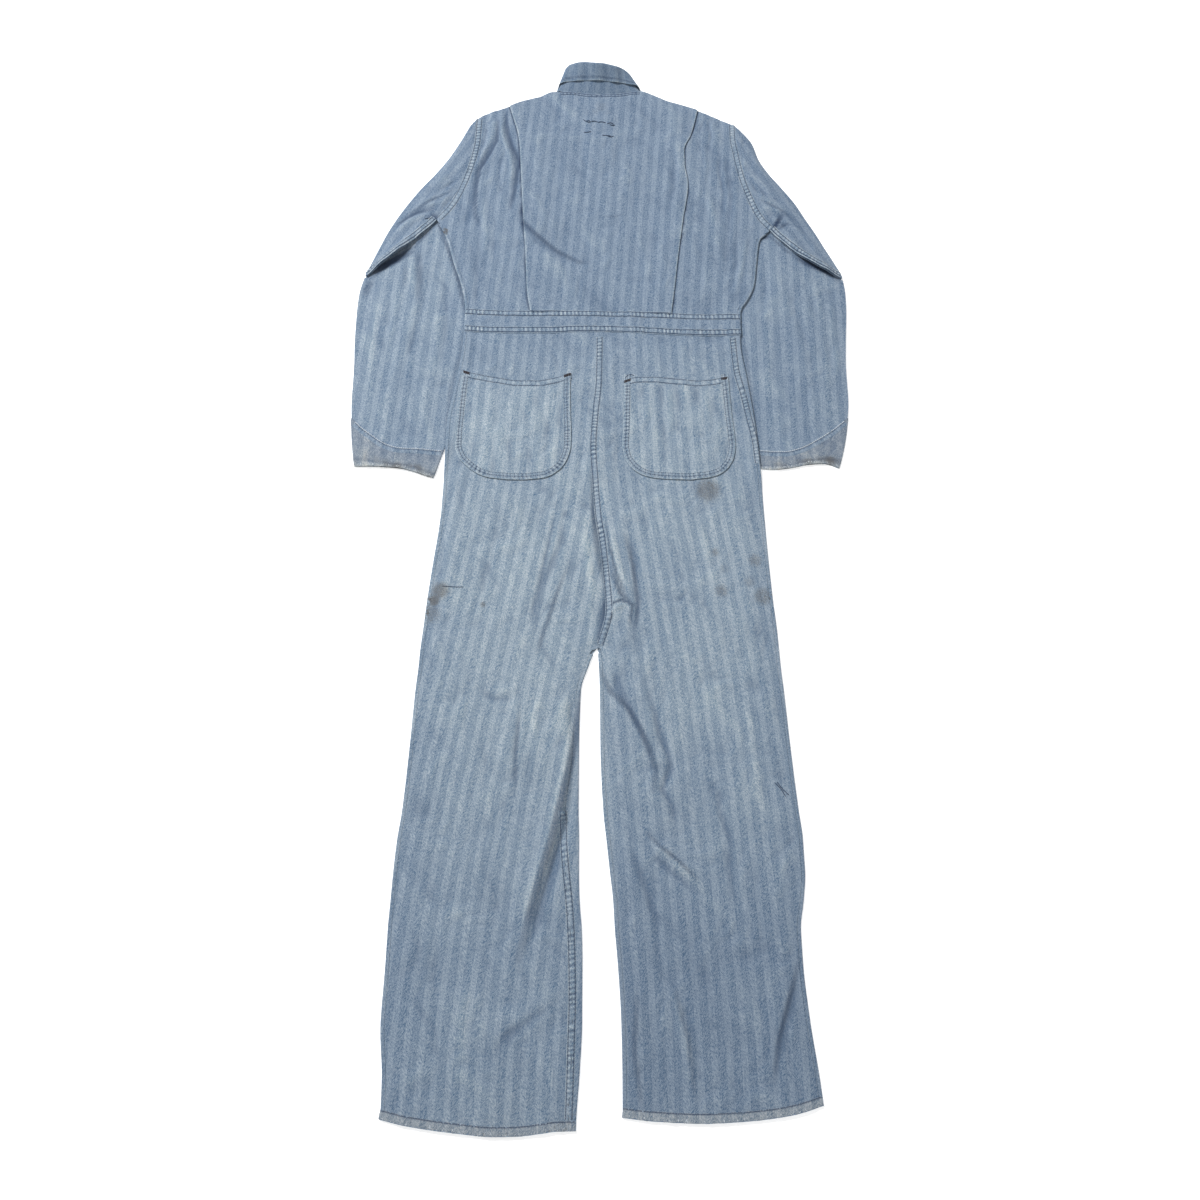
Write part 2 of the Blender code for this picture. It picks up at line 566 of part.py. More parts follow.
def make_front_bodice(name, sign):
    """Half of the front. Below the armpit it turns up round the side to the side seam."""
    outline = column(BODICE_SIDES, SIDE_COLUMN[sign])
    low = column(WAISTBAND_EDGES, 1, WAIST_GAP)
    turned = np.arange(sum(BODICE_ROWS) + 1) < BODICE_ROWS[0]
    inset = np.where(turned, TURN_INSET, GAP / 2)[:, None]
    neck = [constant(sign * half) for half in NECK_LINES[::-1]]
    lines = front_lines(sign, outline, inset, constant(sign * GAP / 2), neck)
    x, y = fill(lines, (1, 1, 2, 1, 1, 1, 1, 1, 1), low, front_top, bodice_levels)
    flat = stack(x, y, front_height(x, y))
    seam = lambda at: outline(at) - sign * (SEAM_INSET - GAP / 2)
    x, y = fill((seam, lambda at: outline(at) - sign * TURN_INSET), (1,), low, front_top, bodice_levels)
    strip = stack(x, y, back_height(x, y))
    bend = turn(strip[:, -1], flat[:, 0], np.array([sign, 0, 0]))
    grid = np.concatenate([strip, bend, flat], axis=1)
    present = np.ones(grid.shape[:2], bool)
    present[~turned, : strip.shape[1] + bend.shape[1]] = False
    wall(name, grid, CLOTH, TWILL_BLUE, present)


def make_waistband():
    """One doubled strip all round. Its left end laps to the edge of the placket."""
    low = column(WAISTBAND_EDGES, 2)
    high = column(WAISTBAND_EDGES, 1)
    levels = even_levels((0, 0.5, 1))
    extra = (BAND - CLOTH) / 2
    parts = []
    for sign, lap in ((-1, PLACKET_HALF), (1, PLACKET_HALF + GAP)):
        outline = column(BODICE_SIDES, SIDE_COLUMN[sign])
        lifted = lifted_edge(sign, outline)
        lines = (
            lambda y: outline(y) - sign * TURN_INSET,
            lifted,
            lambda y: lifted(y) - sign * UNDER_RAMP,
            lambda y: 0 * y + lap,
        )
        x, y = fill(lines, (1, 1, 6 if sign < 0 else 5), low, high, levels)
        parts.append(stack(x, y, FLOOR + extra + under_lift(x, y)))
    left = column(BODICE_SIDES, 1, TURN_INSET)
    right = column(BODICE_SIDES, 2, -TURN_INSET)
    x, y = fill(
        (left, lambda y: left(y) + EDGE_SLOPE, lambda y: right(y) - EDGE_SLOPE, right),
        (2, 10, 2), low, high, levels,
    )
    back = stack(x, y, back_height(x, y) + extra)
    first = turn(parts[0][:, 0], back[:, 0], np.array([-1.0, 0, 0]))
    second = turn(back[:, -1], parts[1][:, 0], np.array([1.0, 0, 0]))
    grid = np.concatenate([parts[0][:, ::-1], first, back, second, parts[1]], axis=1)
    wall("waistband", grid, BAND, TWILL_BLUE)


def leg_seams(sign):
    """Lines of one leg: its outer and inner outline, its side seam and its inseam."""
    outer_column, inner_column = (1, 2) if sign < 0 else (4, 3)
    outer = column(LEG_SIDES, outer_column)
    inner = column(LEG_SIDES, inner_column)
    side = lambda y: outer(y) - sign * (SEAM_INSET if sign < 0 else smooth(SEAM_INSETS, 3, y))
    inseam = lambda y: inner(y) + sign * smooth(SEAM_INSETS, 1 if sign < 0 else 2, y)
    return outer, inner, side, inseam


def make_back_leg(name, sign):
    """Back of one leg, from its side seam to its inseam and, above the crotch, to the centre seam."""
    outer, inner, side, inseam = leg_seams(sign)
    centre = column(CENTRE_SEAM, 1)
    split = (np.arange(sum(LEG_ROWS) + 1) < LEG_ROWS[0])[:, None]
    inner_seam = lambda y: np.where(split, inseam(y), centre(y)) + sign * GAP / 2
    strip = PLACKET_HALF + STRIP_CLEAR + STRIP_RAMP
    lines = (
        lambda y: side(y) - sign * GAP / 2,
        lambda y: side(y) - sign * EDGE_SLOPE,
        lambda y: np.where(split, inner_seam(y) + sign * EDGE_SLOPE, sign * strip),
        inner_seam,
    )
    low = column(HEMS[sign], 1)
    high = column(WAISTBAND_EDGES, 2, -WAIST_GAP)
    x, y = fill(lines, (2, 6, 3), low, high, leg_levels(sign))
    wall(name, stack(x, y, back_height(x, y)), CLOTH, TWILL_BLUE)


def make_front_leg(name, sign):
    """The front of a leg turns up round both sides, to the side seam and, below the crotch, the inseam."""
    outer, inner, side, inseam = leg_seams(sign)
    low = column(HEMS[sign], 1)
    high = column(WAISTBAND_EDGES, 2, -WAIST_GAP)
    split = (np.arange(sum(LEG_ROWS) + 1) < LEG_ROWS[0])[:, None]
    centre = lambda y: FRONT_CENTRE_LEAN * ease((-CROTCH_LEAN_START - y) / CROTCH_LEAN_LENGTH)
    inner_edge = lambda y: np.where(split, inner(y) + sign * TURN_INSET, centre(y) + sign * GAP / 2)
    lines = front_lines(sign, outer, TURN_INSET, inner_edge)
    x, y = fill(lines, (1, 1, 3, 1, 1), low, high, leg_levels(sign))
    flat = stack(x, y, front_height(x, y))
    lines = (lambda at: side(at) + sign * GAP / 2, lambda at: outer(at) - sign * TURN_INSET)
    x, y = fill(lines, (1,), low, high, leg_levels(sign))
    outer_strip = stack(x, y, back_height(x, y))
    lines = (lambda at: inner(at) + sign * TURN_INSET, lambda at: inseam(at) - sign * GAP / 2)
    x, y = fill(lines, (1,), low, high, leg_levels(sign))
    inner_strip = stack(x, y, back_height(x, y))
    first = turn(outer_strip[:, -1], flat[:, 0], np.array([sign, 0, 0]))
    second = turn(flat[:, -1], inner_strip[:, 0], np.array([-sign, 0, 0]))
    grid = np.concatenate([outer_strip, first, flat, second, inner_strip], axis=1)
    present = np.ones(grid.shape[:2], bool)
    present[~split[:, 0], -(inner_strip.shape[1] + second.shape[1]):] = False
    wall(name, grid, CLOTH, TWILL_BLUE, present)


def sleeve_layers(x, y, side):
    """Heights of the middles of the four layers, from the surface up."""
    rise = sleeve_rise(side, x, y)
    return FLOOR, FLOOR + LAYER + rise, FLOOR + 2 * LAYER + rise, FLOOR + 2 * LAYER + TURN + rise


def make_sleeve(name, sign):
    """One cut of cloth, closed round the arm and folded back under itself above the elbow."""
    side = SIDE_NAME[sign]
    outer = column(SLEEVES[side], 1)
    inner = column(SLEEVES[side], 2, sign * UNDER_TURN)
    seam = column(CUFF_SEAM[side], 1, 1.5 * GAP)
    top = lambda at: 0 * at + SLEEVE_TOP_Y[side]
    rows = np.arange(sum(SLEEVE_ROWS) + 1)
    start = smooth(CUFF_SEAM[side], 1, outer(CUFF_SIDE_Y))
    share = (ELBOW_Y[side] - start) / (SLEEVE_TOP_Y[side] - start)
    folded = rows >= SLEEVE_ROWS[0]
    inset = np.where(folded, TURN_INSET + LAYER, 0.0)[:, None]
    levels = lambda at: rows_through(*SLEEVE_ROWS, constant(share), at)
    x, y = fill((lambda at: outer(at) - sign * inset, inner), (6,), seam, top, levels)
    heights = sleeve_layers(x, y, side)
    bottom = stack(x, y, heights[0])
    second = stack(x, y, heights[1])
    hole = column(BODICE_SIDES, SIDE_COLUMN[sign], sign * GAP / 2)
    hole_x, hole_y = fill(
        (hole, hole), (1,), column(WAISTBAND_EDGES, 1, WAIST_GAP), column(BODICE_TOP, 1), bodice_levels,
    )
    # below the elbow there is no armhole, so the forearm's rows all read the armpit's point
    picks = np.clip(rows - SLEEVE_ROWS[0] + BODICE_ROWS[0], BODICE_ROWS[0], None)
    hole_x = hole_x[picks, :1]
    hole_y = hole_y[picks, :1]
    shares = np.linspace(0, 1, 5)[None, :]
    climb = np.clip((rows[:, None] - SLEEVE_ROWS[0]) / SLEEVE_ROWS[1], 0, 1)
    sag = SEAM_SAG[side] * (1 - climb) ** 2 * 4 * shares * (1 - shares)
    arm_x = hole_x + (x[:, :1] - hole_x) * shares
    arm_y = hole_y + (y[:, :1] - hole_y) * shares - sag
    arm_heights = sleeve_layers(arm_x, arm_y, side)
    third = stack(arm_x, arm_y, arm_heights[2])
    fourth = stack(arm_x, arm_y, arm_heights[3])
    along = np.gradient(np.stack([x[:, 0], y[:, 0]], axis=-1), axis=0)
    along /= np.linalg.norm(along, axis=1)[:, None]
    outward = np.stack([sign * np.abs(along[:, 1]), np.abs(along[:, 0]), 0 * along[:, 0]], axis=-1)
    outer_turn = turn(fourth[:, -1], bottom[:, 0], outward)
    hidden_turn = turn(bottom[:, -1], second[:, -1], np.array([-sign, 0, 0]))
    inner_turn = turn(second[:, 0], third[:, -1], outward)
    parts = [fourth, outer_turn, bottom, hidden_turn, second[:, ::-1], inner_turn, third[:, ::-1]]
    grid = np.concatenate(parts, axis=1)
    present = np.ones(grid.shape[:2], bool)
    present[~folded, : fourth.shape[1] + outer_turn.shape[1]] = False
    present[~folded, -(inner_turn.shape[1] + third.shape[1]):] = False
    wall(name, grid, CLOTH, TWILL_BLUE, present)


def make_cuff(name, sign):
    """A flattened tube with a curved top edge, sewn to the end of the sleeve."""
    side = SIDE_NAME[sign]
    outer = column(SLEEVES[side], 1)
    inner = column(SLEEVES[side], 2, sign * UNDER_TURN)
    ends = column(CUFF_END[side], 1), column(CUFF_SEAM[side], 1)
    x, y = fill((outer, inner), (6,), *ends, even_levels((0, 0.5, 1)))
    heights = sleeve_layers(x, y, side)
    lower = stack(x, y, heights[0])
    upper = stack(x, y, heights[1])
    hidden = turn(lower[:, -1], upper[:, -1], np.array([-sign, 0, 0]))
    outside = turn(upper[:, 0], lower[:, 0], np.array([sign, 0, 0]))
    grid = np.concatenate([lower, hidden, upper[:, ::-1], outside], axis=1)
    wall(name, grid, CLOTH, CUFF_BLUE, ring=True)


def make_pocket(name, left_index, mouth):
    """A patch made from the points of the leg's cloth, moved out."""
    left = column(POCKET_SIDES, left_index)
    right = column(POCKET_SIDES, left_index + 1)
    shares = np.array(POCKET_LEVELS)
    bottom = lambda at: 0 * at + POCKET_SIDES[0][0]
    x, y = fill((left, right), (8,), bottom, column(mouth, 1), even_levels(shares))
    across = np.linspace(0, 1, x.shape[1])[None, :]
    belly = POCKET_BELLY * 4 * across * (1 - across) * ease(shares / POCKET_BELLY_LEVEL)[:, None]
    wall(name, stack(x, y, back_height(x, y) + LAYER + GAP + belly), CLOTH, TWILL_BLUE)


def make_collar():
    """A stand round the neck, and a fall that turns over its top edge."""
    first, last = COLLAR_TURNS
    at = np.concatenate([np.arange(first), np.arange(first, last, 0.5), np.arange(last, len(COLLAR))])
    read = [smooth(COLLAR, index, at) for index in range(1, len(COLLAR[0]))]
    rise = np.stack(read[3:6], axis=-1)
    half = read[6][:, None] / 2
    fall = np.stack(read[7:10], axis=-1)
    seam = np.stack(read[0:3], axis=-1) + GAP * unit(rise)
    stand = np.stack([seam + rise * share for share in COLLAR_LEVELS], axis=1)
    wall("collar_stand", stand, CLOTH, COLLAR_BLUE)
    line = unit(np.gradient(stand[:, -1], axis=0))
    out = unit(np.cross(line, rise))
    up = np.cross(out, line)
    start = stand[:, -1] + up * (GAP + CLOTH / 2)
    angles = np.linspace(0, np.pi, TURN_CELLS + 1)
    roll = [start + out * half * (1 - np.cos(a)) + up * half * np.sin(a) for a in angles]
    flap = [roll[-1] + fall * share for share in COLLAR_LEVELS[1:]]
    wall("collar_fall", np.stack(roll + flap, axis=1), CLOTH, COLLAR_BLUE)


def make_strip(name, ends, low, high, levels):
    """Placket or fly: a strip over the centre front that its buttons hold off the surface."""
    x, y = fill((constant(0.0), constant(0.0)), (1,), low, high, levels)
    rows = y[:, 0]
    inside = rows[(rows > min(ends) + STRIP_ROW) & (rows < max(ends) - STRIP_ROW)]
    ys = np.concatenate([[min(ends)], inside, [max(ends)]])
    x, y = np.meshgrid((-PLACKET_HALF, 0, PLACKET_HALF), ys)
    start = min(abs(end) for end in ends)
    wall(name, stack(x, y, FLOOR + leaf_lift(x, y) + button_room(y, start)), CLOTH, TWILL_BLUE)


def make_button(name, y):
    """A plain disc on the face of the placket."""
    angles = np.linspace(0, 2 * np.pi, BUTTON_SIDES, endpoint=False)
    rim = np.stack([BUTTON_RADIUS * np.cos(angles), y + BUTTON_RADIUS * np.sin(angles)], axis=-1)
    base = float(leaf_lift(np.array(0.0), np.array(y + BUTTON_RADIUS)))
    low = np.column_stack([rim, np.full(BUTTON_SIDES, base)])
    high = np.column_stack([rim, np.full(BUTTON_SIDES, base + CLOTH)])
    count = BUTTON_SIDES
    faces = [tuple(range(count))[::-1], tuple(range(count, 2 * count))]
    faces += [(i, (i + 1) % count, (i + 1) % count + count, i + count) for i in range(count)]
    mesh = bpy.data.meshes.new(name)
    mesh.from_pydata(np.concatenate([low, high]) * MM, [], faces)
    place(name, mesh, BUTTON_GREY, BUTTON_ROUGHNESS)


for old in list(bpy.data.objects):
    bpy.data.objects.remove(old)

make_back_bodice()
make_waistband()
make_collar()
for side_sign, side_name in SIDE_NAME.items():
    make_front_bodice("front_bodice_" + side_name, side_sign)
    make_back_leg("back_leg_" + side_name, side_sign)
    make_front_leg("front_leg_" + side_name, side_sign)
    make_sleeve("sleeve_" + side_name, side_sign)
    make_cuff("cuff_" + side_name, side_sign)
make_pocket("back_pocket_left", 1, LEFT_MOUTH)
make_pocket("back_pocket_right", 3, RIGHT_MOUTH)
waist_top = column(WAISTBAND_EDGES, 1, WAIST_GAP)
waist_low = column(WAISTBAND_EDGES, 2, -WAIST_GAP)
make_strip("placket", (PLACKET_LOW, PLACKET_TOP), waist_top, front_top, bodice_levels)
make_strip("fly", (FLY_TOP, FLY_END), column(HEMS[-1], 1), waist_low, leg_levels(-1))
for number, button_y in enumerate(BUTTON_YS, 1):
    make_button("button_" + str(number), button_y)
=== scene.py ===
"""Work coveralls of herringbone twill, laid flat on their front with the back up.

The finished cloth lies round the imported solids. Its seams, stitches and loose threads lie on it.
"""

import json

import bpy
import numpy as np
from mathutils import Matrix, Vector
from mathutils.bvhtree import BVHTree

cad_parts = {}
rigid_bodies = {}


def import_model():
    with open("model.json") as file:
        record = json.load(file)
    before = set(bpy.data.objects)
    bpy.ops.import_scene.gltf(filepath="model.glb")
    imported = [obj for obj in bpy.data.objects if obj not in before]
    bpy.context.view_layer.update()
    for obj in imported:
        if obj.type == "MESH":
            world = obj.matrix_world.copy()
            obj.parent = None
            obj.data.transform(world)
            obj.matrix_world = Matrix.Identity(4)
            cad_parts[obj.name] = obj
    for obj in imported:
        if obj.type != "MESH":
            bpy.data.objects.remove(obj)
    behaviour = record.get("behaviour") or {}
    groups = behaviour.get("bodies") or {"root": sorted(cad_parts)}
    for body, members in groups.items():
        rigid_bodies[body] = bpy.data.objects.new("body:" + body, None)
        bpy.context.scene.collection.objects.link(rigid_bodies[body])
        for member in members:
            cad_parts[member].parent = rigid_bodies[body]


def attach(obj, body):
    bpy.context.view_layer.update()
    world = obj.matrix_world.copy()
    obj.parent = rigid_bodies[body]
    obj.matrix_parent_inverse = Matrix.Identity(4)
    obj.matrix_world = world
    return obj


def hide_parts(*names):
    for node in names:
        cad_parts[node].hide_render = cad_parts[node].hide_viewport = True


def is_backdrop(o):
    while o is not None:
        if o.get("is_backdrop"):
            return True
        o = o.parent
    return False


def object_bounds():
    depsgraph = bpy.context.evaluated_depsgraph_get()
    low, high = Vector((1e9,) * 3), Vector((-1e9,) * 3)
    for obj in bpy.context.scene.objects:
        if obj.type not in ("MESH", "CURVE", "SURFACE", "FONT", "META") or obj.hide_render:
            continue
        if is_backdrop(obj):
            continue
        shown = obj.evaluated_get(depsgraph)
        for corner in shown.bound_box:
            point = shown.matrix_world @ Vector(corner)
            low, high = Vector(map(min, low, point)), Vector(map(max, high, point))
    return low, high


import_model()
cad_low, cad_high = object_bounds()

# ----------------------------------------
# Front bodice halves. Indigo herringbone twill, cut as a left and a right half that meet under
# the placket. They lie face down on the surface and on the sleeves, and turn up round the
# sides of the body to the felled side seams, where a strip of them shows beside the back.
# ----------------------------------------

MM = 0.001  # the sizes below are in millimetres
CLOTH = 1.2
GAP = 0.3  # between two pieces at a seam, and between layers that are pressed together
LAYER = CLOTH + GAP
FLOOR = CLOTH / 2
TURN = LAYER + 0.6  # rise from the front's middle to the back's at a side
TURN_INSET = TURN / 2 + CLOTH / 2
TURN_CELLS = 5
SHARP_ANGLE = np.radians(55.0)  # a wall's own edges are sharp, its folds are smooth
SEAM_INSET = 5.0  # the side seams lie this far in from the outline, on the upper face,
SEAM_START = 12.0  # which they leave over this length below the armpits
SIDE_NAME = {-1: "left", 1: "right"}
SIDE_COLUMN = {-1: 1, 1: 2}  # where a table has one column for each side
FINE = 3.0  # size of one cell of a shown surface
COARSE = 8.0  # size of one cell of a hidden surface

# y, left x, right x: the armholes above the armpits, the sides below them
BODICE_SIDES = (
    (-30, -205, 212), (15, -205, 214), (36, -207, 226), (62, -213, 237),
    (104, -227, 243), (146, -239, 250), (164, -247, 266), (184, -257, 252),
    (214, -243, 236), (233, -231, 231), (279, -212, 223), (323, -203, 218),
    (392, -201, 217),
)
ARMPIT_Y = {-1: 184, 1: 164}
# x, y along the shoulder and neck seams, from the left shoulder tip to the right one
BODICE_TOP = (
    (-201, 387), (-186, 398), (-157, 410), (-128, 423), (-100, 434), (-80, 443), (-48, 445),
    (-11, 440), (26, 441), (64, 446), (80, 441), (113, 424), (147, 410), (173, 398), (217, 374),
)
FRONT_NECK_DROP = 74  # how far the front neckline dips below the back one
NECK_HALF = 76
NECK_ROUNDNESS = 2.4  # 2 would be an ellipse, and more is squarer
# x, y top of the waistband, y bottom of the waistband
WAISTBAND_EDGES = (
    (-208, 17, -21), (-152, 14, -24), (-91, 13, -24), (-10, 13, -22), (61, 11, -24),
    (107, 9, -27), (151, 7, -29), (216, 7, -28),
)
# The sleeves lie under the body. y, outer x, inner x of each
LEFT_SLEEVE = (
    (-270, -346, -241), (-225, -355, -228), (-190, -360, -218), (-135, -365, -209),
    (-85, -366, -204), (-33, -369, -200), (20, -370, -198), (47, -369, -198), (79, -363, -198),
    (101, -355, -197), (129, -345, -197), (158, -334, -196), (186, -321, -196),
    (215, -305, -196), (245, -286, -196), (275, -264, -196), (305, -245, -196),
    (335, -230, -197), (374, -213, -200),
)
RIGHT_SLEEVE = (
    (-270, 334, 222), (-220, 350, 216), (-185, 358, 211), (-135, 365, 206), (-85, 366, 201),
    (-33, 370, 199), (20, 375, 200), (47, 376, 203), (75, 374, 205), (101, 364, 207),
    (129, 351, 209), (158, 338, 210), (186, 324, 210), (215, 310, 210), (245, 291, 210),
    (275, 271, 210), (305, 256, 210), (335, 248, 211), (364, 229, 213),
)
SLEEVES = {-1: LEFT_SLEEVE, 1: RIGHT_SLEEVE}
CUFF_END_Y = {-1: -258, 1: -246}
UNDER_CLEAR = 5.0  # the body stays up this far past the sleeve's inner fold,
UNDER_RAMP = 16.0  # and then comes down over this width
UNDER_END = 45.0  # and over this length past the end of the cuff
# The placket and its buttons hold the fronts up, and so do the collar's leaves.
PLACKET_HALF = 16.0
STRIP_CLEAR = 1.5
STRIP_RAMP = 17.0
FLY_END = -232
WAIST_RAMP = 30.0  # the fronts come down to the waistband over this length,
WAIST_EDGE = 12.0  # to its edges
LEAF_REACH = 125.0
LEAF_RAMP = 40.0
NECK_Y = 440.0
NECK_CLEAR = 40.0  # the placket's room ends this far below the neck seam


def smooth(rows, column, at):
    """Reads one column of a table at any place in its first column, on a curve that doesn't overshoot."""
    places = np.array([row[0] for row in rows], float)
    values = np.array([row[column] for row in rows], float)
    steps = np.diff(places)
    slopes = np.diff(values) / steps
    before, after = slopes[:-1], slopes[1:]
    same_way = before * after > 0
    inner = np.where(same_way, 2 * before * after / np.where(same_way, before + after, 1), 0)
    tangents = np.concatenate([slopes[:1], inner, slopes[-1:]])
    at = np.clip(at, places[0], places[-1])
    index = np.clip(np.searchsorted(places, at, side="right") - 1, 0, len(steps) - 1)
    step = steps[index]
    t = (at - places[index]) / step
    start = values[index] + step * tangents[index] * t * (1 - t) ** 2
    rise = (values[index + 1] - values[index]) * t * t * (3 - 2 * t)
    return start + rise - step * tangents[index + 1] * t * t * (1 - t)


def ease(t):
    """Zero to one, level at both ends."""
    t = np.clip(t, 0, 1)
    return t * t * (3 - 2 * t)


def column(rows, index, shift=0.0):
    """One column of a table as a function, moved by a shift."""
    return lambda at: smooth(rows, index, at) + shift


def constant(value):
    """The same value wherever it is read."""
    return lambda at: 0 * at + value


def stack(x, y, z):
    """Points from plan places and heights."""
    return np.stack([x, y, z + 0 * x], axis=-1)


def unit(vectors):
    """Vectors of length one along the given ones."""
    return vectors / np.maximum(np.linalg.norm(vectors, axis=-1, keepdims=True), 1e-9)


def distances(points):
    """How far along a line each of its points is."""
    return np.concatenate([[0], np.cumsum(np.linalg.norm(np.diff(points, axis=0), axis=1))])


def under_lift(x, y):
    """How far the front of the body is lifted by the sleeves that are folded under it."""
    lift = np.zeros(np.shape(x))
    for sign, rows in SLEEVES.items():
        inside = sign * (x - smooth(rows, 2, y)) + UNDER_CLEAR
        end = CUFF_END_Y[sign] - UNDER_CLEAR
        lift = lift + ease(1 + inside / UNDER_RAMP) * ease(1 + (y - end) / UNDER_END) * 2 * LAYER
    return lift


def leaf_lift(x, y):
    """How far the front is lifted by the collar's leaves."""
    return LAYER * ease((LEAF_REACH + LEAF_RAMP - np.hypot(x, y - NECK_Y)) / LEAF_RAMP)


def button_room(y, start):
    """How far the placket stands off the surface for its buttons, away from the waistband."""
    return LAYER * ease((np.abs(y) - start) / WAIST_RAMP)


def front_height(x, y):
    """Middle of the cloth of the front panels."""
    strip = ease(1 - (np.abs(x) - PLACKET_HALF - STRIP_CLEAR) / STRIP_RAMP)
    strip = strip * ease(1 + (y - FLY_END + STRIP_RAMP) / UNDER_END)
    strip = strip * ease((NECK_Y - NECK_CLEAR - y) / STRIP_RAMP)
    return FLOOR + under_lift(x, y) + leaf_lift(x, y) + strip * (LAYER + button_room(y, WAIST_EDGE))


# y, left leg's outer x, its inner x, right leg's inner x, its outer x
LEG_SIDES = (
    (-1100, -253, -28, 26, 260), (-1070, -253, -27, 26, 259), (-1031, -254, -24, 26, 256),
    (-968, -260, -21, 25, 249), (-902, -259, -21, 21, 245), (-868, -259, -22, 18, 245),
    (-833, -258, -25, 16, 251), (-798, -257, -26, 12, 255), (-762, -255, -26, 8, 255),
    (-725, -251, -27, 4, 252), (-649, -247, -27, 0.5, 247), (-570, -244, -25, -0.5, 243),
    (-540, -242, -16, -1.5, 241), (-513, -241, -4.2, -3.8, 240), (-488, -239, 40, -50, 239),
    (-445, -236, 110, -120, 236), (-402, -232, 180, -180, 234), (-312, -224, 200, -220, 231),
    (-257, -223, 220, -230, 230), (-182, -223, 220, -230, 226), (-102, -212, 220, -220, 218),
    (-42, -206, 220, -220, 211), (-10, -205, 220, -220, 212),
)
# y, x of the centre seam of the back
CENTRE_SEAM = (
    (-520, -4), (-459, 12), (-416, 9), (-358, 3), (-318, -3), (-266, -7), (-213, -10),
    (-159, -7), (-103, -2), (-26, -1), (0, -1),
)
BODICE_PLATEAU = 5.4  # height of the middle of the back bodice, clear of its sides
LEG_PLATEAU = 4.3  # the same for the legs
HIP_Y = -260.0  # the plateau rises from the legs' height to the bodice's from here,
HIP_LENGTH = 200.0  # over this length
EDGE_SLOPE = 30.0  # the back rises from its sides to the plateau over this width
SHOULDER_SLOPE = 12.0  # and closes on the front over this width at the shoulder seam,
EDGE_AIR = 0.6  # by this much
FOLD_SHARE = 1.3  # the finished cloth's folds against the plain solid's
CREASE_SHARE = 1.3  # its creases against the table below
FOLD_END_SHARE = 0.03  # a fold keeps some of its height this near its ends,
FOLD_TAPER = 0.6  # and the lower this is, the longer it stays near its full height
RELIEF_START = 2.0  # creases begin this far in from an outline,
RELIEF_SLOPE = 16.0  # and reach their height over this width
# Folds and creases of the back, down the garment. height, width on the left of the line, width
# on its right, then x, y. A height below zero is a trough.
FOLDS = (
    (2.2, 34, 16, (
        (-30, -540), (-45, -600), (-41, -672), (-55, -737), (-73, -793), (-90, -854), (-102, -905),
    )),
    (1.4, 22, 30, ((-206, -240), (-215, -315), (-221, -407), (-232, -520))),
    (1.3, 26, 18, ((26, -322), (39, -394), (42, -450), (33, -501), (49, -545), (50, -590))),
    (1.4, 18, 26, ((-1, -524), (8, -560), (26, -592), (44, -630), (52, -668))),
    (1.5, 24, 20, ((49, -544), (64, -627), (76, -668), (66, -700), (76, -722), (84, -760))),
    (1.2, 26, 30, ((24, -747), (34, -790), (55, -853), (62, -905))),
    (1.2, 20, 26, ((60, -758), (86, -784), (124, -814))),
    (1.5, 30, 22, ((241, -879), (224, -936), (205, -991), (194, -1034))),
    (1.0, 26, 26, ((-42, -933), (-68, -950), (-109, -974), (-124, -998))),
    (1.0, 24, 24, ((24, -908), (31, -943), (30, -1002), (41, -1052))),
    (1.0, 26, 20, ((-111, -587), (-118, -652), (-117, -715))),
    (1.1, 22, 26, ((-144, 218), (-121, 180), (-99, 149), (-68, 125), (-40, 110))),
    (1.0, 22, 26, ((-166, 370), (-168, 334), (-190, 298), (-199, 262), (-196, 200))),
    (1.0, 22, 26, ((206, 345), (210, 288), (213, 222), (207, 165))),
)
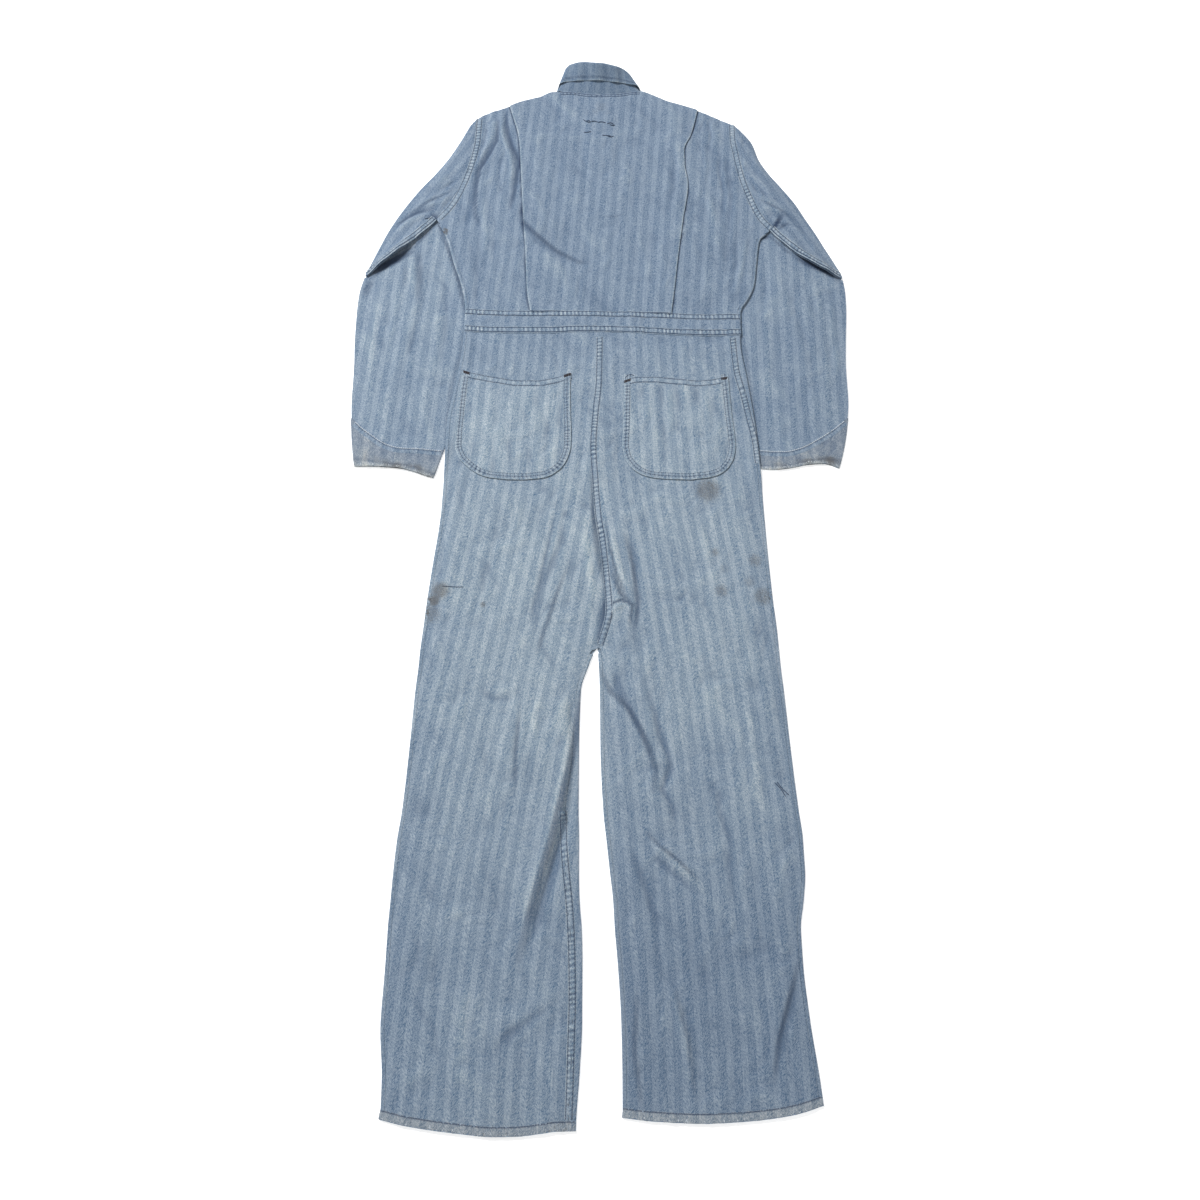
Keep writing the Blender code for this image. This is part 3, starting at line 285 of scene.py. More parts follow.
CREASES = (
    (-2.0, 11, 4, (
        (-166, 385), (-168, 341), (-181, 310), (-194, 282), (-198, 248), (-198, 213), (-188, 160),
    )),
    (-2.0, 10, 4, (
        (-153, 402), (-153, 381), (-149, 354), (-136, 317), (-131, 301), (-134, 253), (-142, 200),
    )),
    (-1.1, 7, 9, ((-141, 208), (-119, 171), (-97, 140), (-66, 116), (-40, 102))),
    (1.4, 6, 5, ((-176, 376), (-180, 338), (-193, 306), (-206, 276), (-208, 240))),
    (1.4, 5, 6, ((-160, 398), (-162, 372), (-158, 344), (-146, 312), (-142, 280), (-146, 240))),
    (-0.8, 5, 5, ((-148, 330), (-160, 300), (-162, 268), (-158, 236))),
    (-1.2, 4, 6, ((-190, 392), (-186, 360), (-192, 330), (-200, 300))),
    (1.0, 5, 5, ((-178, 396), (-172, 366), (-176, 340))),
    (-1.0, 5, 4, ((-206, 300), (-208, 250), (-206, 200), (-214, 150))),
    (0.9, 5, 6, ((-186, 250), (-184, 200), (-178, 150), (-184, 100))),
    (-0.9, 5, 5, ((-172, 220), (-164, 170), (-166, 120), (-158, 70))),
    (-1.1, 5, 5, ((-226, 140), (-214, 90), (-204, 50))),
    (-1.0, 5, 5, ((178, 380), (182, 350), (176, 320))),
    (-1.1, 5, 6, ((196, 330), (192, 280), (198, 230), (190, 180))),
    (0.9, 5, 5, ((168, 330), (172, 290), (166, 250))),
    (-0.9, 5, 5, ((222, 200), (214, 150), (210, 100), (200, 50))),
    (0.8, 6, 5, ((228, 150), (220, 100), (206, 40))),
    (-1.4, 4, 5, ((234, 70), (222, 45), (208, 22))),
    (0.7, 9, 9, ((-128, 252), (-104, 228), (-84, 190))),
    (-0.8, 8, 8, ((115, 330), (120, 302), (118, 246), (104, 190))),
    (0.8, 8, 10, ((124, 338), (131, 296), (128, 240))),
    (-1.2, 8, 10, ((204, 345), (206, 288), (208, 222), (200, 165), (196, 110))),
    (0.7, 9, 9, ((168, 250), (178, 190), (186, 120), (190, 60))),
    (-0.7, 8, 8, ((-196, 110), (-186, 70), (-188, 30))),
    (0.6, 9, 11, ((-170, 130), (-160, 80), (-166, 34))),
    (-0.6, 9, 9, ((150, 160), (156, 110), (150, 50))),
    (0.5, 10, 10, ((30, 330), (46, 280), (44, 220))),
    (-0.5, 10, 10, ((-60, 320), (-72, 268), (-60, 210))),
    (0.5, 12, 9, ((60, 150), (74, 96), (70, 40))),
    (-1.2, 8, 12, ((-45, -290), (-53, -357), (-78, -422), (-85, -462), (-94, -509))),
    (-1.9, 8, 10, ((-8, -251), (-5, -324), (4, -370), (8, -407), (8, -447), (-4, -510))),
    (1.1, 8, 9, ((-22, -330), (-18, -380), (-10, -430), (-14, -480))),
    (-1.3, 8, 9, ((38, -330), (48, -394), (52, -450), (44, -500))),
    (1.1, 7, 9, ((18, -372), (24, -420), (24, -462), (12, -494))),
    (-1.4, 7, 8, ((12, -528), (24, -566), (42, -602), (60, -640), (64, -672))),
    (-1.4, 7, 8, ((60, -560), (78, -627), (92, -668), (80, -700), (92, -722), (97, -760))),
    (2.6, 18, 5, (
        (-26, -567), (-43, -595), (-37, -630), (-38, -672), (-51, -737), (-68, -793), (-84, -840),
    )),
    (-2.6, 5, 13, (
        (-20, -575), (-31, -600), (-27, -672), (-41, -737), (-58, -793), (-74, -840), (-88, -897),
    )),
    (2.0, 5, 4, ((0, -508), (8, -478), (18, -458), (32, -452), (46, -460))),
    (1.4, 5, 6, ((14, -330), (20, -370), (29, -405), (42, -436))),
    (-1.2, 7, 5, ((-58, -300), (-70, -360), (-82, -420), (-96, -480))),
    (0.8, 9, 9, ((-154, -566), (-130, -572), (-108, -566))),
    (-0.7, 8, 8, ((-156, -578), (-130, -584), (-108, -580))),
    (-0.9, 7, 7, ((-103, -592), (-110, -652), (-108, -715))),
    (0.8, 8, 8, ((-75, -569), (-87, -603), (-84, -640))),
    (1.0, 8, 12, ((65, -763), (84, -782), (119, -811))),
    (-1.1, 7, 9, ((60, -774), (80, -794), (116, -824))),
    (-1.1, 8, 9, ((34, -747), (46, -790), (68, -853), (72, -905))),
    (0.9, 9, 9, ((88, -933), (102, -995), (108, -1038))),
    (-0.8, 8, 8, ((98, -940), (113, -995), (118, -1045))),
    (-1.6, 7, 10, ((243, -905), (226, -950), (212, -991), (203, -1034))),
    (-1.0, 9, 9, ((-48, -948), (-74, -962), (-112, -988), (-126, -1008))),
    (0.7, 9, 9, ((-150, -900), (-164, -960), (-160, -1030))),
    (-0.6, 9, 9, ((-196, -840), (-200, -920), (-190, -1000))),
    (-0.7, 9, 9, ((146, -690), (160, -760), (164, -840))),
    (0.6, 9, 9, ((190, -560), (196, -640), (204, -720))),
    (-1.2, 8, 10, ((-214, -250), (-219, -315), (-224, -407), (-230, -484))),
    (0.7, 9, 9, ((140, -300), (146, -370), (160, -430))),
    (-0.6, 9, 9, ((-140, -300), (-150, -380), (-166, -450))),
)
# Uneven relief of washed cloth: size of its waves, height
RUMPLES = ((70.0, 0.34), (30.0, 0.25), (13.0, 0.20))
RUMPLE_BEND = 14.0  # these waves are themselves bent by this much
RUMPLE_SEED = 11
WAVES = 12
WAVE_SUM = 3.2  # about the highest sum that so many waves reach


def rumple(x, y, size, seed):
    """Soft uneven relief between about -1 and 1, from waves in many directions."""
    draw = np.random.default_rng(seed)
    ways = draw.uniform(0, np.pi, WAVES)
    phases = draw.uniform(0, 2 * np.pi, WAVES)
    stretches = draw.uniform(0.7, 1.6, WAVES)
    total = np.zeros(np.shape(x))
    for way, phase, stretch in zip(ways, phases, stretches):
        total += np.sin((x * np.cos(way) + y * np.sin(way)) * 2 * np.pi / (size * stretch) + phase)
    return total / WAVE_SUM


def washed(x, y):
    """The cloth's own small relief."""
    bend = RUMPLE_BEND * rumple(x, y, 90.0, 3)
    total = np.zeros(np.shape(x))
    for seed, (size, height) in enumerate(RUMPLES, RUMPLE_SEED):
        total = total + height * rumple(x + bend, y - bend, size, seed)
    return total


def straights(x, y, route):
    """For each straight of a route: how far points are from it, how far along the route, on which side.

    How far along is a share of the whole route. The side is above zero on the route's left.
    """
    points = np.array(route, float)
    runs = np.diff(points, axis=0)
    lengths = np.hypot(runs[:, 0], runs[:, 1])
    before = np.concatenate([[0], np.cumsum(lengths)[:-1]])
    for start, run, length, done in zip(points[:-1], runs, lengths, before):
        along = np.clip(((x - start[0]) * run[0] + (y - start[1]) * run[1]) / length**2, 0, 1)
        dx = x - start[0] - along * run[0]
        dy = y - start[1] - along * run[1]
        yield np.hypot(dx, dy), (done + along * length) / lengths.sum(), run[0] * dy - run[1] * dx


def fold_height(x, y, folds):
    """Sum of the ridges in a table of folds. Each is highest in the middle of its length."""
    total = np.zeros(np.shape(x))
    for height, left_width, right_width, route in folds:
        best = np.full(np.shape(x), np.inf)
        share = np.zeros(np.shape(x))
        side = np.zeros(np.shape(x))
        for far, done, aside in straights(x, y, route):
            nearer = far < best
            best = np.where(nearer, far, best)
            share = np.where(nearer, done, share)
            side = np.where(nearer, aside, side)
        # the routes run down the garment, so their left is on the right of the plan
        width = np.where(side > 0, right_width, left_width)
        share = np.clip(share, FOLD_END_SHARE, 1 - FOLD_END_SHARE)
        total += height * (1 - ease(best / width)) * np.sin(np.pi * share) ** FOLD_TAPER
    return total


def edge_distance(x, y):
    """Distance in from the outline of the body or of the leg."""
    bodice = np.minimum(x - smooth(BODICE_SIDES, 1, y), smooth(BODICE_SIDES, 2, y) - x)
    left = np.minimum(x - smooth(LEG_SIDES, 1, y), smooth(LEG_SIDES, 2, y) - x)
    right = np.minimum(x - smooth(LEG_SIDES, 3, y), smooth(LEG_SIDES, 4, y) - x)
    return np.where(y > 0, bodice, np.where(x < smooth(CENTRE_SEAM, 1, y), left, right))


def back_relief(x, y):
    """Creases and rumples of the back, which flatten out towards its edges."""
    inside = ease((edge_distance(x, y) - RELIEF_START) / RELIEF_SLOPE)
    return inside * (CREASE_SHARE * fold_height(x, y, CREASES) + washed(x, y))


def back_height(x, y):
    """Middle of the cloth of the back panels, which rise from their edges to a low plateau."""
    low = front_height(x, y) + TURN
    plateau = LEG_PLATEAU + (BODICE_PLATEAU - LEG_PLATEAU) * ease((y - HIP_Y) / HIP_LENGTH)
    inside = ease(edge_distance(x, y) / EDGE_SLOPE)
    closing = EDGE_AIR * ease(1 - (smooth(BODICE_TOP, 1, x) - y) / SHOULDER_SLOPE)
    smooth_part = inside * (np.maximum(plateau - low, 0) + FOLD_SHARE * fold_height(x, y, FOLDS))
    return low + smooth_part + back_relief(x, y) - closing


FILL_PASSES = 10  # rounds in which a panel's rows and columns settle on each other


def row_numbers(levels):
    """Numbers of the rows that a function of levels gives, from zero up."""
    return np.arange(len(levels(np.zeros((1, 1)))))


def fill(lines, cells, low, high, levels):
    """Plan points of a panel, in columns between lines that run up it, from one end to the other.

    A line is a function that gives x for a y, and an end gives y for an x.
    """
    marks = [0.0]
    for index, count in enumerate(cells):
        marks += [index + (step + 1) / count for step in range(count)]
    marks = np.array(marks)
    first = np.minimum(marks.astype(int), len(cells) - 1)
    share = marks - first
    rows = row_numbers(levels)
    y = np.zeros((len(rows), len(marks)))
    before = first[None, None, :] + np.zeros((1, len(rows), 1), int)
    for _ in range(FILL_PASSES):
        across = np.stack([line(y) + 0 * y for line in lines])
        from_line = np.take_along_axis(across, before, 0)[0]
        to_line = np.take_along_axis(across, before + 1, 0)[0]
        x = from_line * (1 - share) + to_line * share
        y = low(x) + (high(x) - low(x)) * levels(x)
    return x, y


def rows_through(below, above, middle, x):
    """Rows of the body that meet at one height on every panel: some below it, some above."""
    rows = np.arange(below + above + 1)[:, None]
    part = middle(x[:1])
    return np.where(rows <= below, rows / below * part, part + (rows - below) / above * (1 - part))


def armpit_share(x):
    """How far up the bodice the armpits lie. The left one lies higher."""
    left_low, right_low = WAISTBAND_EDGES[0][1], WAISTBAND_EDGES[-1][1]
    left = (ARMPIT_Y[-1] - left_low) / (BODICE_TOP[0][1] - left_low)
    right = (ARMPIT_Y[1] - right_low) / (BODICE_TOP[-1][1] - right_low)
    across = np.clip((x - BODICE_TOP[0][0]) / (BODICE_TOP[-1][0] - BODICE_TOP[0][0]), 0, 1)
    return left + (right - left) * across


LENGTH_TO_ARMPIT = 165.0  # about, from the waistband up
LENGTH_TO_SHOULDER = 215.0  # about, from the armpit up


def bodice_levels(cell):
    """Rows of the bodice, about one cell apart, and the number of the armpits' row."""
    below, above = round(LENGTH_TO_ARMPIT / cell), round(LENGTH_TO_SHOULDER / cell)
    return (lambda x: rows_through(below, above, armpit_share, x)), below


def turn(start, end, outward):
    """Columns of points round a turn of the cloth, from one layer's edge to the other layer's edge."""
    middle = (start + end) / 2
    half = (start - end) / 2
    reach = np.abs(half[..., 2:3])
    angles = np.linspace(0, np.pi, TURN_CELLS + 1)[1:-1]
    return np.stack([middle + half * np.cos(a) + outward * reach * np.sin(a) for a in angles], axis=-2)


def add_group(name, inputs, outputs):
    """An empty shader group with its sockets, ready for its nodes."""
    group = bpy.data.node_groups.new(name, "ShaderNodeTree")
    for socket, kind, value in inputs:
        made = group.interface.new_socket(socket, in_out="INPUT", socket_type="NodeSocket" + kind)
        made.default_value = value
    for socket, kind in outputs:
        group.interface.new_socket(socket, in_out="OUTPUT", socket_type="NodeSocket" + kind)
    return group, group.nodes.new("NodeGroupInput"), group.nodes.new("NodeGroupOutput")


def feed(tree, socket, value):
    """Links a socket to another one, or sets it to a number."""
    if isinstance(value, bpy.types.NodeSocket):
        tree.links.new(value, socket)
    elif value is not None:
        socket.default_value = value


def sums(tree, operation, a, b=None, c=None):
    """One Math node."""
    node = tree.nodes.new("ShaderNodeMath")
    node.operation = operation
    for socket, value in zip(node.inputs, (a, b, c)):
        feed(tree, socket, value)
    return node.outputs[0]


def mix(tree, factor, a, b, blend="MIX"):
    """One colour Mix node."""
    node = tree.nodes.new("ShaderNodeMix")
    node.data_type = "RGBA"
    node.blend_type = blend
    node.clamp_factor = True
    feed(tree, node.inputs["Factor"], factor)
    feed(tree, node.inputs[6], a)
    feed(tree, node.inputs[7], b)
    return node.outputs[2]


def noise(tree, vector, scale, detail=2.0, rough=0.5):
    """One Noise node's value."""
    node = tree.nodes.new("ShaderNodeTexNoise")
    feed(tree, node.inputs["Vector"], vector)
    node.inputs["Scale"].default_value = scale
    node.inputs["Detail"].default_value = detail
    node.inputs["Roughness"].default_value = rough
    return node.outputs["Fac"]


def ramp(tree, value, low, high, to_low=0.0, to_high=1.0):
    """One Map Range node with soft ends."""
    node = tree.nodes.new("ShaderNodeMapRange")
    node.interpolation_type = "SMOOTHSTEP"
    for socket, number in zip(node.inputs, (value, low, high, to_low, to_high)):
        feed(tree, socket, number)
    return node.outputs["Result"]


def stretched(tree, vector, across, along):
    """The grain's place scaled across and along the stripes."""
    node = tree.nodes.new("ShaderNodeVectorMath")
    node.operation = "MULTIPLY"
    feed(tree, node.inputs[0], vector)
    node.inputs[1].default_value = (across, along, 0)
    return node.outputs[0]


def combined(tree, a, a_scale, b, b_scale, c, c_scale):
    """One vector of three scaled values."""
    node = tree.nodes.new("ShaderNodeCombineXYZ")
    for socket, value, scale in zip(node.inputs, (a, b, c), (a_scale, b_scale, c_scale)):
        feed(tree, socket, sums(tree, "MULTIPLY", value, scale))
    return node.outputs[0]


def swing(tree, value, amount):
    """A noise's value turned into a swing of an amount about zero."""
    return sums(tree, "MULTIPLY", sums(tree, "SUBTRACT", value, 0.5), amount)


STRIPE_WIDTH = 0.00875  # in metres. Each stripe's ribs slant the other way from its neighbours'
RIB_PITCH = 0.0013


def herringbone_group():
    """Herringbone twill from a place on the cloth in metres: its colour and the height of its ribs."""
    group, given, result = add_group(
        "herringbone twill",
        (
            ("Grain", "Vector", (0, 0, 0)), ("Pale", "Color", (0.4, 0.45, 0.5, 1)),
            ("Deep", "Color", (0.1, 0.15, 0.25, 1)), ("Stripe", "Float", 0.2), ("Heather", "Float", 0.5),
        ),
        (("Color", "Color"), ("Height", "Float")),
    )
    grain = given.outputs["Grain"]
    split = group.nodes.new("ShaderNodeSeparateXYZ")
    group.links.new(grain, split.inputs[0])
    across, along = split.outputs[0], split.outputs[1]
    wander = swing(group, noise(group, stretched(group, grain, 1, 0.4), 60), 0.0022)
    strip = sums(group, "DIVIDE", sums(group, "ADD", across, wander), STRIPE_WIDTH)
    whole = sums(group, "FLOOR", strip)
    odd = sums(group, "FLOORED_MODULO", whole, 2.0)
    part = sums(group, "SUBTRACT", strip, whole)
    slant = sums(group, "MULTIPLY", sums(group, "SUBTRACT", sums(group, "MULTIPLY", odd, 2.0), 1.0), part)
    rib = sums(group, "ADD", along, sums(group, "MULTIPLY", slant, STRIPE_WIDTH))
    wave = sums(group, "SINE", sums(group, "MULTIPLY", rib, 2 * np.pi / RIB_PITCH))
    border = ramp(group, sums(group, "MINIMUM", part, sums(group, "SUBTRACT", 1.0, part)), 0.0, 0.10)
    slub = noise(group, combined(group, across, 480, rib, 880, whole, 7.3), 1.0, 2.0, 0.6)
    speckle = noise(group, stretched(group, grain, 1, 0.7), 760, 3.0, 0.7)
    streak = noise(group, stretched(group, grain, 1, 0.06), 420, 2.0, 0.6)
    own_shade = noise(group, combined(group, whole, 5.1, along, 11, across, 0), 1.0, 2.0, 0.6)
    cloud = noise(group, grain, 17, 4.0, 0.6)
    band = sums(group, "SUBTRACT", sums(group, "MULTIPLY", odd, border), 0.45)
    band = sums(group, "MULTIPLY", band, given.outputs["Stripe"])
    uneven = ramp(group, noise(group, grain, 34, 2.0, 0.6), 0.3, 0.65, 0.55, 1.35)
    band = sums(group, "MULTIPLY", band, uneven)
    grit = sums(group, "ADD", swing(group, slub, 1.7), swing(group, speckle, 1.1))
    grit = sums(group, "MULTIPLY", grit, given.outputs["Heather"])
    lines = sums(group, "ADD", swing(group, streak, 0.32), swing(group, own_shade, 0.22))
    tone = sums(group, "MULTIPLY_ADD", wave, 0.05, 0.5)
    for change in (band, grit, lines, swing(group, cloud, 0.18)):
        tone = sums(group, "ADD", tone, change)
    group.links.new(mix(group, tone, given.outputs["Deep"], given.outputs["Pale"]), result.inputs["Color"])
    height = sums(group, "ADD", sums(group, "MULTIPLY", wave, 0.5), sums(group, "MULTIPLY", speckle, 1.2))
    group.links.new(height, result.inputs["Height"])
    return group


def wear_group():
    """Fading and soil over a cloth's colour, ridges paled by wear and painted light, troughs darkened as
    painted shade, and the marks' dark lines of thread and painted shade.
    """
    group, given, result = add_group(
        "wear, soil and painted shade",
        (
            ("Color", "Color", (0.2, 0.3, 0.4, 1)), ("Grain", "Vector", (0, 0, 0)),
            ("Marks", "Vector", (0, 0, 0)),
            ("Bleach", "Color", (2.0, 1.8, 1.5, 1)), ("Soil", "Color", (0.10, 0.10, 0.10, 1)),
        ),
        (("Color", "Color"),),
    )
    split = group.nodes.new("ShaderNodeSeparateXYZ")
    group.links.new(given.outputs["Marks"], split.inputs[0])
    faded, soiled_and_shaded, dark = split.outputs
    grain = group.nodes.new("ShaderNodeSeparateXYZ")
    group.links.new(given.outputs["Grain"], grain.inputs[0])
    relief = grain.outputs[2]
    fine = noise(group, given.outputs["Grain"], 900, 2.0, 0.6)
    patchy = noise(group, given.outputs["Grain"], 260, 3.0, 0.65)
    fade = sums(group, "MULTIPLY", faded, ramp(group, fine, 0.2, 0.62, 0.55, 1.15))
    color = mix(group, fade, given.outputs["Color"], given.outputs["Bleach"], "MULTIPLY")
    # wear and painted light pale the relief's ridges, and painted shade darkens its troughs
    ridge_wear_and_light = sums(group, "MULTIPLY", ramp(group, relief, 0.0, 1.6), 0.30)
    trough_shade = sums(group, "MULTIPLY", ramp(group, sums(group, "MULTIPLY", relief, -1.0), 0.0, 1.6), 0.50)
    color = mix(group, ridge_wear_and_light, color, given.outputs["Bleach"], "MULTIPLY")
    color = mix(group, trough_shade, color, (0.06, 0.10, 0.17, 1))
    # soil, and the painted shadow in the left armpit, pull the colour towards the soil colour
    stain_and_shade = ramp(group, sums(group, "ADD", soiled_and_shaded, swing(group, patchy, 2.6)), 0.35, 0.95)
    stain_and_shade = sums(group, "MULTIPLY", stain_and_shade, ramp(group, soiled_and_shaded, 0.03, 0.3))
    color = mix(group, sums(group, "MULTIPLY", stain_and_shade, 0.9), color, given.outputs["Soil"])
    # the marks' dark channel: darker tones, lines of thread, and painted shade in hollows, beside folds and
    # between puckers
    group.links.new(mix(group, dark, color, (0.024, 0.044, 0.088, 1)), result.inputs["Color"])
    return group


HERRINGBONE = herringbone_group()
WEAR_AND_SHADE = wear_group()


def bare_material(name, roughness, specular):
    """A material, its node tree and its shader, with the roughness and specular level set."""
    material = bpy.data.materials.new(name)
    material.use_nodes = True
    shader = material.node_tree.nodes["Principled BSDF"]
    shader.inputs["Roughness"].default_value = roughness
    shader.inputs["Specular IOR Level"].default_value = specular
    return material, material.node_tree, shader


def cloth_material(name, pale, deep, stripe, heather):
    """Matt, slightly hairy cotton."""
    material, tree, shader = bare_material(name, 0.93, 0.15)
    shader.inputs["Sheen Weight"].default_value = 0.12
    shader.inputs["Sheen Roughness"].default_value = 0.6
    places = {}
    for attribute in ("grain", "marks"):
        node = tree.nodes.new("ShaderNodeAttribute")
        node.attribute_name = attribute
        places[attribute] = node.outputs["Vector"]
    weave = tree.nodes.new("ShaderNodeGroup")
    weave.node_tree = HERRINGBONE
    tree.links.new(places["grain"], weave.inputs["Grain"])
    weave.inputs["Pale"].default_value = (*pale, 1)
    weave.inputs["Deep"].default_value = (*deep, 1)
    weave.inputs["Stripe"].default_value = stripe
    weave.inputs["Heather"].default_value = heather
    # this group adds wear and soil, and also painted light on ridges and painted shade in troughs and
    # hollows
    worn = tree.nodes.new("ShaderNodeGroup")
    worn.node_tree = WEAR_AND_SHADE
    tree.links.new(weave.outputs["Color"], worn.inputs["Color"])
    tree.links.new(places["grain"], worn.inputs["Grain"])
    tree.links.new(places["marks"], worn.inputs["Marks"])
    worn.inputs["Bleach"].default_value = (2.0, 1.8, 1.5, 1)
    tree.links.new(worn.outputs["Color"], shader.inputs["Base Color"])
    bump = tree.nodes.new("ShaderNodeBump")
    bump.inputs["Strength"].default_value = 0.5
    bump.inputs["Distance"].default_value = 0.00025
    tree.links.new(weave.outputs["Height"], bump.inputs["Height"])
    tree.links.new(bump.outputs["Normal"], shader.inputs["Normal"])
    return material


TWILL = cloth_material("faded indigo twill", (0.278, 0.340, 0.418), (0.050, 0.102, 0.182), 0.175, 1.3)
# Faded seat and thighs, darker lower legs and shoulders. y, how faded the left side is, the right side,
# how dark the left side is, the right side
FADES = (
    (-1100, 0.34, 0.10, 0.06, 0.08), (-1040, 0.18, 0.04, 0.03, 0.10), (-900, 0.16, 0.04, 0.00, 0.09),
    (-800, 0.26, 0.14, 0.00, 0.02), (-690, 0.36, 0.28, 0.00, 0.00), (-560, 0.48, 0.36, 0.00, 0.00),
    (-400, 0.52, 0.42, 0.00, 0.00), (-250, 0.42, 0.34, 0.00, 0.00), (-130, 0.30, 0.24, 0.00, 0.00),
    (-60, 0.14, 0.12, 0.00, 0.00), (20, 0.03, 0.02, 0.02, 0.01), (150, 0.01, 0.00, 0.03, 0.02),
    (320, 0.00, 0.00, 0.05, 0.04), (450, 0.00, 0.00, 0.08, 0.07),
)
# Painted shade along deep folds and hollows, where the light doesn't reach. darkness, half its width, route
# as x, y
FOLD_SHADES = (
    (0.62, 4.2, (
        (-16, -548), (-23, -572), (-27, -600), (-32, -632), (-38, -664), (-48, -708), (-60, -757),
        (-73, -800), (-86, -850), (-98, -900),
    )),
    (0.55, 3.4, ((0, -541), (13, -571), (37, -595), (52, -621), (62, -643), (72, -675), (68, -700))),
    (0.60, 2.0, ((59, -753), (75, -769), (99, -788), (120, -808))),
    (0.62, 3.0, ((-127, 213), (-123, 181), (-100, 154), (-70, 126), (-36, 106), (-19, 103))),
    (0.60, 2.3, (
        (-153, 402), (-153, 381), (-149, 354), (-143, 332), (-136, 317), (-131, 301), (-134, 253),
        (-142, 206),
    )),
    (0.60, 2.5, (
        (-166, 380), (-168, 341), (-181, 310), (-194, 282), (-198, 248), (-198, 215), (-196, 194),
        (-189, 174),
    )),
    (0.70, 3.2, ((6, -388), (11, -432), (5, -474), (-3, -509))),
    (0.60, 3.0, ((16, -400), (27, -435), (43, -452))),
    (0.75, 1.8, ((-4, -500), (4, -474), (14, -452), (28, -446), (44, -452), (40, -480))),
    (0.60, 1.6, ((8, -330), (14, -370), (22, -405), (36, -440))),
    (0.55, 3.4, ((-10, -251), (-9, -324), (-4, -372), (1, -407))),
    (0.45, 2.6, ((-46, -400), (-60, -440), (-72, -480), (-84, -520))),
    (0.42, 2.4, ((34, -350), (46, -400), (52, -450), (46, -500))),
    (0.30, 1.8, ((6, 191), (19, 189), (35, 195))),
    (0.36, 2.8, ((241, -900), (224, -948), (210, -991), (203, -1030))),
    (0.36, 3.0, ((44, -940), (40, -1000), (48, -1060))),
    (0.32, 2.6, ((88, -930), (104, -990), (110, -1050))),
    (0.28, 2.2, ((-104, -592), (-109, -652), (-107, -700))),
)
# Soiled places, and at (-243, 163) a painted shadow in the left armpit's cavity. x, y, radius, strength
SOIL_AND_SHADE = (
    (153, -282, 22, 0.72), (-218, -432, 15, 0.8), (-226, -446, 10, 0.9), (-228, -465, 16, 0.6),
    (159, -376, 8, 0.6), (166, -432, 12, 0.6), (172, -400, 9, 0.4), (214, -388, 12, 0.6),
    (222, -440, 16, 0.65), (-159, -452, 5, 0.8), (205, -420, 10, 0.5), (2, 412, 12, 0.42),
    (-8, 402, 9, 0.36), (14, 400, 8, 0.3), (-243, 163, 6, 1.1), (-40, -1078, 26, 0.35),
    (-120, -1086, 30, 0.3),
)


SHADE_REACH = 1.6  # a hollow ends at this many of its half widths,
SHADE_END_SHARE = 0.02  # keeps some of its darkness this near its ends,
SHADE_TAPER = 0.4  # and the lower this is, the longer it stays near its darkest
STAIN_REACH = 1.4  # a soiled place ends at this many of its radii
MIDDLE_WIDTH = 60.0  # the left side's wear gives way to the right side's over this width
SIDE_FADE_LOSS = 0.55  # share of its fade that a leg has lost at its sides,
SIDE_FADE_START = 50.0  # from this far from its middle line,
SIDE_FADE_WIDTH = 90.0  # over this width
RIM_WORN = 0.45  # paleness of the bodice's sides below the armpits
RIM_WIDTH = 1.6


def near_routes(x, y, routes):
    """How dark the painted shade is at each point, from the routes of shade that it lies near."""
    dark = np.zeros(np.shape(x))
    for strength, half, route in routes:
        for far, share, _ in straights(x, y, route):
            share = np.clip(share, SHADE_END_SHARE, 1 - SHADE_END_SHARE)
            shade = strength * ease(SHADE_REACH - far / half) * np.sin(np.pi * share) ** SHADE_TAPER
            dark = np.maximum(dark, shade)
    return dark


def body_marks(x, y):
    """Fade, soil and darkness at each point of the body. Part of the darkness is painted shade along
    hollows, and the soil in the left armpit is a painted shadow.
    """
    soil_and_armpit_shade = np.zeros(np.shape(x))
    for at_x, at_y, radius, strength in SOIL_AND_SHADE:
        soil_and_armpit_shade = np.maximum(soil_and_armpit_shade, strength * ease(STAIN_REACH - np.hypot(x - at_x, y - at_y) / radius))
    right = ease(0.5 + x / MIDDLE_WIDTH)
    left_fade, right_fade, left_dark, right_dark = (smooth(FADES, index, y) for index in (1, 2, 3, 4))
    fade = left_fade * (1 - right) + right_fade * right
    dark = left_dark * (1 - right) + right_dark * right
    middle = smooth(LEG_SIDES, 1, y) * (1 - right) / 2 + smooth(LEG_SIDES, 4, y) * right / 2
    fade = fade * (1 - SIDE_FADE_LOSS * ease((np.abs(x - middle) - SIDE_FADE_START) / SIDE_FADE_WIDTH))
    fade = fade * (1 + 0.12 * rumple(x, y, 150, 41))
    patch = 0.03 * np.maximum(rumple(x, y, 110, 43), 0)
    rim = RIM_WORN * ease(1.7 - edge_distance(x, y) / RIM_WIDTH) * (y > 0) * (y < ARMPIT_Y[1])
    fade = fade + rim
    # painted shade along the deep folds and hollows is added to the darkness
    return np.stack([np.maximum(fade, 0), soil_and_armpit_shade, dark + patch + near_routes(x, y, FOLD_SHADES)], axis=-1)


def placed(name, mesh, material):
    """The piece that shows a mesh. It rides on the garment's one body."""
    mesh.materials.append(material)
    piece = bpy.data.objects.new(name, mesh)
    bpy.context.scene.collection.objects.link(piece)
    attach(piece, "root")
    return piece


